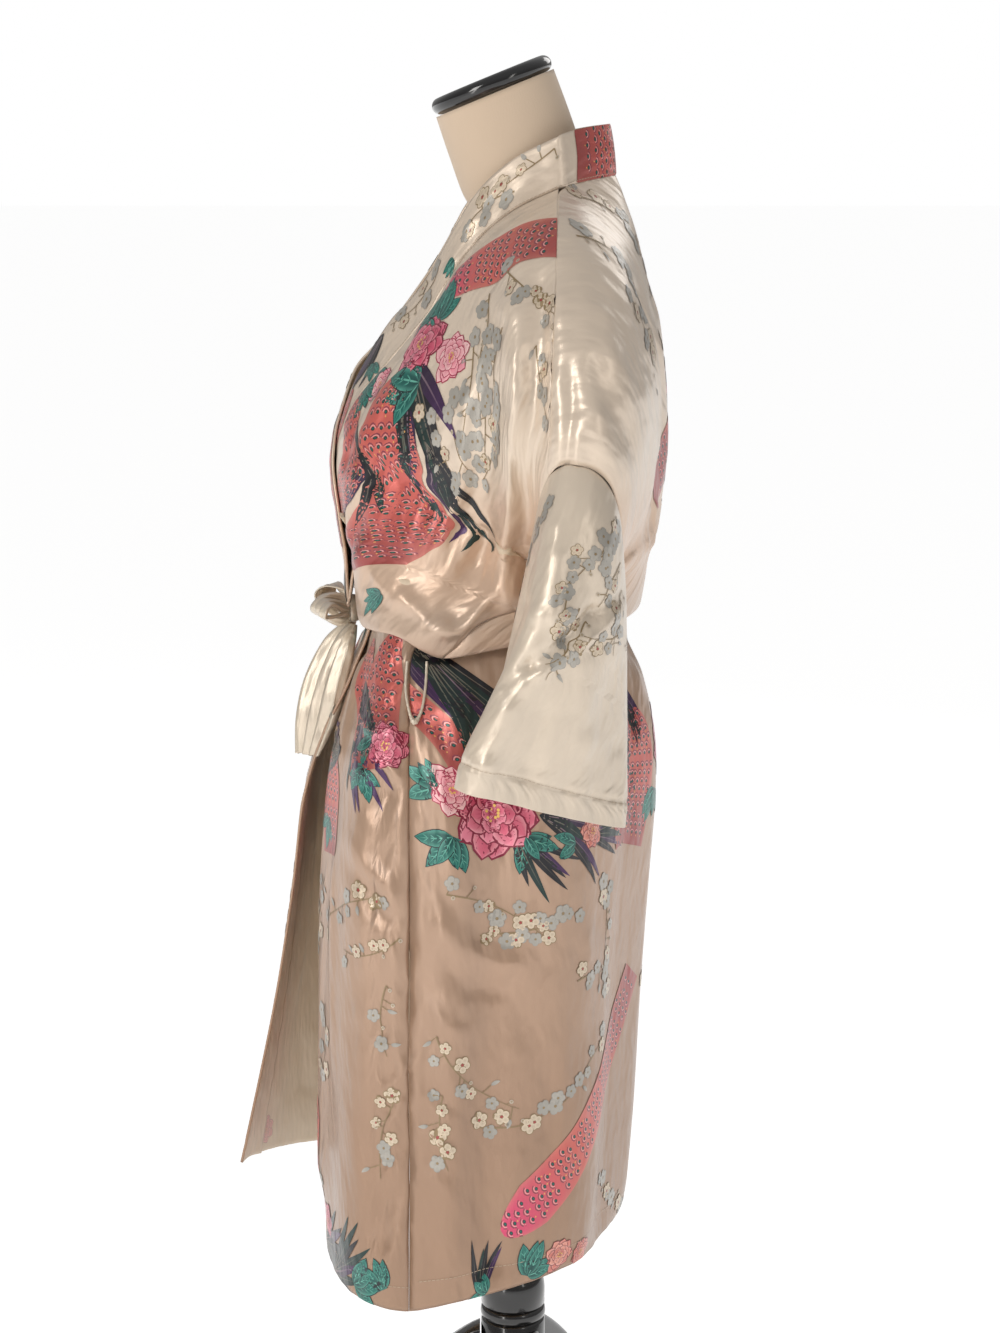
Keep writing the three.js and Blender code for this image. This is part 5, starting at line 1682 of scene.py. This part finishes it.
show_through_motifs = [
    ["spray", 250, 640, 80, 90, 0.6, 0.5, 151],
    ["spray", 236, 720, 110, 80, 0.6, -0.6, 152],
    ["spray", 262, 790, 70, 80, 0.7, 0.6, 153],
    ["spray", 232, 812, 100, 60, 0.7, -0.8, 154],
    ["spray", 272, 850, 60, 54, 0.2, 0.7, 155],
    ["long_leaves", 240, 930, -60, 64, 6, 0.4, 156],
    ["leaves", 270, 916, -120, 24, 5, 0, 157],
    ["coral_peony", 282, 908, 0, 14, 0, 0, 158],
    ["peony", 214, 914, 0, 18, 0, 0, 159],
    ["long_leaves", 286, 934, -100, 40, 5, 0.4, 160],
]


THREAD = colour(190, 170, 146)


def stitches(start, end, level_line, down_the_cut=False, length=2.4, gap=1.0):
    """A row of machine stitches on the cut, along it or down it."""
    shapes = []
    for a in np.arange(start, end, length + gap):
        dash = np.array([[[a, level_line - 0.22], [a + length, level_line - 0.22]],
                         [[a, level_line + 0.22], [a + length, level_line + 0.22]]])
        shapes += patch(dash[..., ::-1] if down_the_cut else dash, THREAD, 3)
    return shapes


def shapes_from(rows, shift=(0, 0), reseed=0):
    shapes = []
    for kind, a, d, turn, size, amount, bend, seed in rows:
        shapes += placed(drawn(kind, size, amount, bend, seed + reseed), a + shift[0], d + shift[1],
                         math.radians(turn))
    return shapes


# %% [markdown]
# ## Printed and stitched
# Each panel gets the shapes of its table, and a row of machine stitches along its turned hem or its neckband seam.
# The wrong side of the right front shows a paler print, since thin satin lets some colour through.

# %% Printed and stitched
FRONT_HEM, BACK_HEM, SLEEVE_HEM = 18, 18, 20
hem_at = lambda name, above: float(pieces[name]["down"][-1, pieces[name]["down"].shape[1] // 2]) - above
wide_at = lambda name: float(pieces[name]["across"][-1].max())
lay_print("left_front_print", "left_front_panel", shapes_from(left_front_motifs)
          + stitches(0, wide_at("left_front_panel"), hem_at("left_front_panel", FRONT_HEM)), "last")
lay_print("right_front_print", "right_front_panel", shapes_from(left_front_motifs, (14, 22), 500)
          + stitches(0, wide_at("right_front_panel"), hem_at("right_front_panel", FRONT_HEM)), "first")
half_back = wide_at("back_panel") / 2
lay_print("back_print", "back_panel", shapes_from(back_motifs)
          + stitches(-half_back, half_back, hem_at("back_panel", BACK_HEM)), "middle")
for side_name, shift, reseed in (("left", (0, 0), 0), ("right", (-30, 8), 700)):
    sleeve = side_name + "_sleeve_tube"
    lay_print(side_name + "_sleeve_print", sleeve, shapes_from(sleeve_motifs, shift, reseed)
              + stitches(0, wide_at(sleeve), hem_at(sleeve, SLEEVE_HEM)), "first")
for side_name, shift, reseed in (("left", (0, 0), 0), ("right", (6, 30), 900)):
    band = side_name + "_neckband"
    seam_edge = 38 if side_name == "left" else 2
    lay_print(band + "_print", band, shapes_from(neckband_motifs, shift, reseed)
              + stitches(0, hem_at(band, 0), seam_edge, True), "first")
lay_print("right_front_show_through", "right_front_panel", shapes_from(show_through_motifs), "first", True)

# %% [markdown]
# ## Floor
# A pale floor that runs far back, so that it meets the light background without a line.

# %% Floor
pale, nodes, links, shader = principled("pale_floor", (0.86, 0.86, 0.86))
shader.inputs["Roughness"].default_value = 0.9
shader.inputs["Emission Color"].default_value = (1, 1, 1, 1)
shader.inputs["Emission Strength"].default_value = 0.62
floor = mesh_object("floor", [(-40, -40, 0), (40, -40, 0), (40, 40, 0), (-40, 40, 0)], [(0, 1, 2, 3)], [pale])
floor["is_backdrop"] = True

# %% [markdown]
# ## Triangles
# The triangles of every shown mesh are counted, in all and in the largest piece.

# %% Finish
triangles = {piece.name: sum(len(face.vertices) - 2 for face in piece.data.polygons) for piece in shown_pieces()
             if piece.type == "MESH"}
print("triangles:", sum(triangles.values()),
      "most in one piece:", max(triangles.items(), key=lambda item: item[1]))
